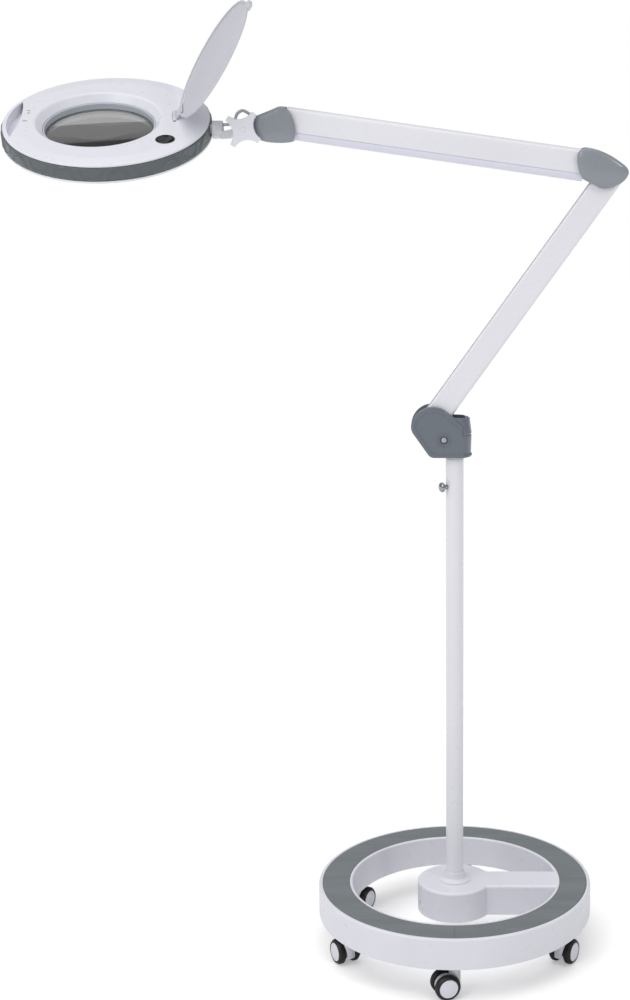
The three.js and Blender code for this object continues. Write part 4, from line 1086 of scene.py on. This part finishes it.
def grip_rim(place):
    """The soft band round the head, with shallow overlapping rings raised on its face."""
    half = RIM - 2.6
    columns = 1152
    rings = 24
    pitch = 2 * math.pi * HEAD_RADIUS / rings
    inner = [(149.7, half - 0.2), (149.7, -half - 2.2)]
    rows = 26
    loops = []
    for k in range(columns):
        angle = 2 * math.pi * k / columns
        c, s = math.cos(angle), math.sin(angle)
        section = list(inner)
        section.append((HEAD_RADIUS, -half - 2.4))
        for row in range(rows + 1):
            z = -half - 1.7 + (2 * half + 1.2) * row / rows
            swell = 1.5 - 0.7 * ((z + half) / (2 * half)) - 0.6 * max(0, (z - half + 2.5) / 2.5) ** 2
            low_edge = max(0, (-half - z + 0.6) / 2.3)
            radius = HEAD_RADIUS + swell - 1.2 * low_edge ** 2
            fade = min(1, (half - z) / 2 + 0.2)
            section.append((radius + relief(angle * HEAD_RADIUS, z, pitch) * fade, z))
        section.append((HEAD_RADIUS - 0.8, half - 0.1))
        loops.append([(r * c, r * s, z) for r, z in section])
    band = loft(loops, place, endless=True)
    return cut(band, rod(8.3, 140, 160, "X", (0, 0), 48, 0, place))


def head_bottom(place, optic):
    top = -RIM - 0.3
    tray = lathe(rounded([
        (0, top - 7, 0), (138, top - 7, 4), (149, top - 5.6, 3), (HEAD_RADIUS + 1, top - 2.8, 1.2),
        (HEAD_RADIUS + 1, top, 0.4), (0, top, 0),
    ]), 200, place)
    hollow = lathe([(0, top + 1), (144, top + 1), (144, top - 2.4), (136, top - 5), (0, top - 5)], 120,
                   place)
    light = rod(122.5, -60, 20, place=optic, segments=200)
    return cut(tray, hollow, light)


def lens_body(optic):
    edge, bulge, steps = 2.2, 4.5, 28
    profile = []
    for k in range(steps + 1):
        r = LENS_RADIUS * k / steps
        profile.append((r, LENS_DROP - edge - bulge * (1 - (r / LENS_RADIUS) ** 2)))
    for k in range(steps, -1, -1):
        r = LENS_RADIUS * k / steps
        profile.append((r, LENS_DROP + edge + bulge * (1 - (r / LENS_RADIUS) ** 2)))
    return lathe(profile, 160, optic)


place = HEAD_FRAME
put("head_upper", head_top(place), "head", WHITE, "head_top_shell", 40)
put("grip_band", grip_rim(place), "head", GRIP, "grip_rim", 50)
put("head_lower", head_bottom(place, OPTIC_FRAME), "head", WHITE, "head_bottom_shell", 40)
put("magnifier", lens_body(OPTIC_FRAME), "head", GLASS, "lens", 40)
lip = LENS_DROP - 3
bezel_ring = lathe(rounded([
    (80.3, lip, 0), (76.8, lip, 0.3), (76.8, lip - 3, 0.3), (82.7, lip - 3, 0.3), (82.7, 2, 0.5),
    (80.3, 2, 0.6),
]), 200, OPTIC_FRAME)
put("lens_bezel", bezel_ring, "head", BEZEL, "lens_ring")
window = lathe(rounded([(79, -17.6, 0.6), (122, -17.6, 0.6), (122, -15, 0.4), (79, -15, 0.4)]), 200,
               OPTIC_FRAME)
put("light_window", window, "head", MILKY, "diffuser")
put("lid_pin", rod(1.5, -17, 17, "Y", (HINGE_X, HINGE_Z), 24, 0.3, HINGE_FRAME), "head", STEEL,
    "lid_hinge_pin")

switch_place = HEAD_FRAME @ moved(*SWITCH_PLACE)
reach = 11.4
rocker = extrude([(-reach, 5), (-reach, 15.2), (-9, 15.2), (-1, 13.4), (1, 13.4), (9, 16.6), (reach, 16.6),
                  (reach, 5)], -11.6, 11.6, "Y", 0, switch_place)
rocker = boolean(rocker, [rod(reach, 0, 30, place=switch_place, segments=64)], "INTERSECT")
put("rocker", bevelled(rocker, 0.7), "rocker", BLACK, "rocker_switch", 40)
switch_bezel = lathe(rounded([(12.2, 9, 0), (14.1, 9, 0), (14.1, 14.6, 0.8), (12.2, 15.2, 0.8)], 5), 64,
                     switch_place)
put("rocker_bezel", switch_bezel, "head", BLACK)

MARK_PLACES = ((-119.8, 21), (-118.4, 13), (-116.7, -14.2), (-119.6, -14.3))
for index, (x, y) in enumerate(MARK_PLACES):
    mark = extrude(link((x - 1.3, y), (x + 1.3, y), 0.9, 8), 13.2, 14.15, "Z", 0.2, HEAD_FRAME)
    put(f"printed_dot_{index + 1}", mark, "head", DARK)

# ---------------------------------------------------------------- lid


def lid(place):
    arm, rise, thick = LID_ARM, LID_RISE, LID_THICKNESS
    centre = -arm - LID_RADIUS
    spot = place @ moved(centre, 0, 0)
    disc = lathe(rounded([
        (0, rise + 2.8, 0), (LID_RADIUS - 2.6, rise + 2.8, 0.8), (LID_RADIUS - 2.2, rise, 0.5),
        (LID_RADIUS, rise, 0.6), (LID_RADIUS, rise + thick + 0.6, 1.2),
        (LID_RADIUS - 8, rise + thick + 1.1, 20),
        (0, rise + thick + 1.6, 0),
    ]), 240, spot)
    far = centre - LID_RADIUS
    tab = extrude(rounded([(far + 2, -10, 0), (far + 2, 10, 0), (far - 7.6, 9, 5), (far - 7.6, -9, 5)], 12),
                  rise, rise + thick + 3.5, "Z", 1.2, place)
    half = 11.7
    tongue = extrude(rounded([(-arm - 6, -half - 3, 0), (-arm + 4, -half, 5), (0, -half, 0), (0, half, 0),
                              (-arm + 4, half, 5), (-arm - 6, half + 3, 0)]), rise + 0.1, rise + thick - 1,
                     "Z", 0.3, place)
    barrel = rod(3.2, -half, half, "Y", (0, 0), 32, 0.3, place)
    bore = rod(1.8, -half - 1, half + 1, "Y", (0, 0), 24, 0, place)
    return cut(join(disc, tab, tongue, barrel), bore)


put("cover_lid", lid(LID_FRAME), "lid", SHADED_LID_WHITE, "lid", 40)

# ---------------------------------------------------------------- CAD pieces that stay

KEPT = {
    "base_weight": IRON, "hub_plate": STEEL, "elbow_bracket": STEEL, "front_bracket": STEEL,
    "front_pin": STEEL, "led_board": BOARD,
}
for name, surface in KEPT.items():
    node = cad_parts[name]
    node.data.materials.clear()
    node.data.materials.append(surface)

# ---------------------------------------------------------------- floor, light and camera

FLOOR_Z = -54


def floor():
    size = 12000
    obj = new_object("floor", [(-size, -size, FLOOR_Z), (size, -size, FLOOR_Z), (size, size, FLOOR_Z),
                               (-size, size, FLOOR_Z)], [(0, 1, 2, 3)])
    n = Nodes("pale_floor")
    n.shader.inputs["Roughness"].default_value = 0.9
    n.shader.inputs["Specular IOR Level"].default_value = 0.0
    n.shader.inputs["Emission Color"].default_value = (1, 1, 1, 1)
    seen = n.add("ShaderNodeLightPath")
    lift = n.add("ShaderNodeMath", operation="MULTIPLY")
    lift.inputs[1].default_value = 0.32
    n.link(seen.outputs["Is Camera Ray"], lift.inputs[0])
    n.link(lift.outputs["Value"], n.shader.inputs["Emission Strength"])
    n.tint(linear(247, 247, 247), n.noise(2, 2), 0.003)
    glow = n.add("ShaderNodeEmission", Color=(1, 1, 1, 1), Strength=1.05)
    away = n.add("ShaderNodeVectorMath", operation="LENGTH")
    n.link(n.place, away.inputs[0])
    fade = n.add("ShaderNodeMapRange")
    fade.inputs["From Min"].default_value = 0.5
    fade.inputs["From Max"].default_value = 1.6
    fade.interpolation_type = "SMOOTHSTEP"
    n.link(away.outputs["Value"], fade.inputs["Value"])
    mix = n.add("ShaderNodeMixShader")
    n.link(fade.outputs["Result"], mix.inputs["Fac"])
    n.link(n.shader.outputs["BSDF"], mix.inputs[1])
    n.link(glow.outputs["Emission"], mix.inputs[2])
    n.link(mix.outputs["Shader"], n.tree.nodes["Material Output"].inputs["Surface"])
    obj.data.materials.append(n.material)


def area_light(name, place, target, size, power):
    data = bpy.data.lights.new(name, "AREA")
    data.shape = "DISK"
    data.size = size
    data.energy = power
    obj = bpy.data.objects.new(name, data)
    obj.location = place
    obj.rotation_euler = (Vector(target) - Vector(place)).to_track_quat("-Z", "Y").to_euler()
    bpy.context.scene.collection.objects.link(obj)


floor()
world = bpy.data.worlds.new("studio")
world.use_nodes = True
bpy.context.scene.world = world
tree = world.node_tree
backdrop = tree.nodes["Background"]
backdrop.inputs["Color"].default_value = (1, 1, 1, 1)
backdrop.inputs["Strength"].default_value = 1.0
lighting = tree.nodes.new("ShaderNodeBackground")
lighting.inputs["Color"].default_value = (0.98, 0.985, 1.0, 1)
lighting.inputs["Strength"].default_value = 0.45
rays = tree.nodes.new("ShaderNodeLightPath")
choose = tree.nodes.new("ShaderNodeMixShader")
tree.links.new(rays.outputs["Is Camera Ray"], choose.inputs["Fac"])
tree.links.new(lighting.outputs["Background"], choose.inputs[1])
tree.links.new(backdrop.outputs["Background"], choose.inputs[2])
tree.links.new(choose.outputs["Shader"], tree.nodes["World Output"].inputs["Surface"])

area_light("key", (-2.2, -2.6, 2.6), (0, 0, 0.7), 2.2, 27)
area_light("fill", (2.6, -2.6, 3.6), (0, 0, 0.4), 0.5, 16)
sky = bpy.data.lights.new("overhead", "SUN")
sky.energy = 1.2
sky.angle = math.radians(70)
overhead = bpy.data.objects.new("overhead", sky)
overhead.rotation_euler = (math.radians(8), math.radians(-12), 0)
bpy.context.scene.collection.objects.link(overhead)

view = bpy.context.scene.view_settings
view.view_transform = "Standard"
view.look = "None"

# The sideways shift belongs to the main view alone: a driver drops it when the camera stands elsewhere.
CAMERA_Y = -2.6462
CAMERA_SHIFT = -0.14
camera = bpy.data.cameras.new("camera")
camera.lens = 62.608
camera.sensor_width = 36
camera.clip_start = 0.05
camera.clip_end = 100
camera.shift_x = CAMERA_SHIFT
eye = bpy.data.objects.new("camera", camera)
eye.location = (0.0005, CAMERA_Y, 1.2510)
eye.rotation_euler = (math.radians(77.857), 0, 0)
bpy.context.scene.collection.objects.link(eye)
bpy.context.scene.camera = eye
shift = camera.driver_add("shift_x").driver
shift.type = "SCRIPTED"
where = shift.variables.new()
where.name = "y"
where.type = "TRANSFORMS"
where.targets[0].id = eye
where.targets[0].transform_type = "LOC_Y"
where.targets[0].transform_space = "WORLD_SPACE"
shift.expression = f"{CAMERA_SHIFT} * max(0, 1 - 1000 * abs(y - {CAMERA_Y}))"
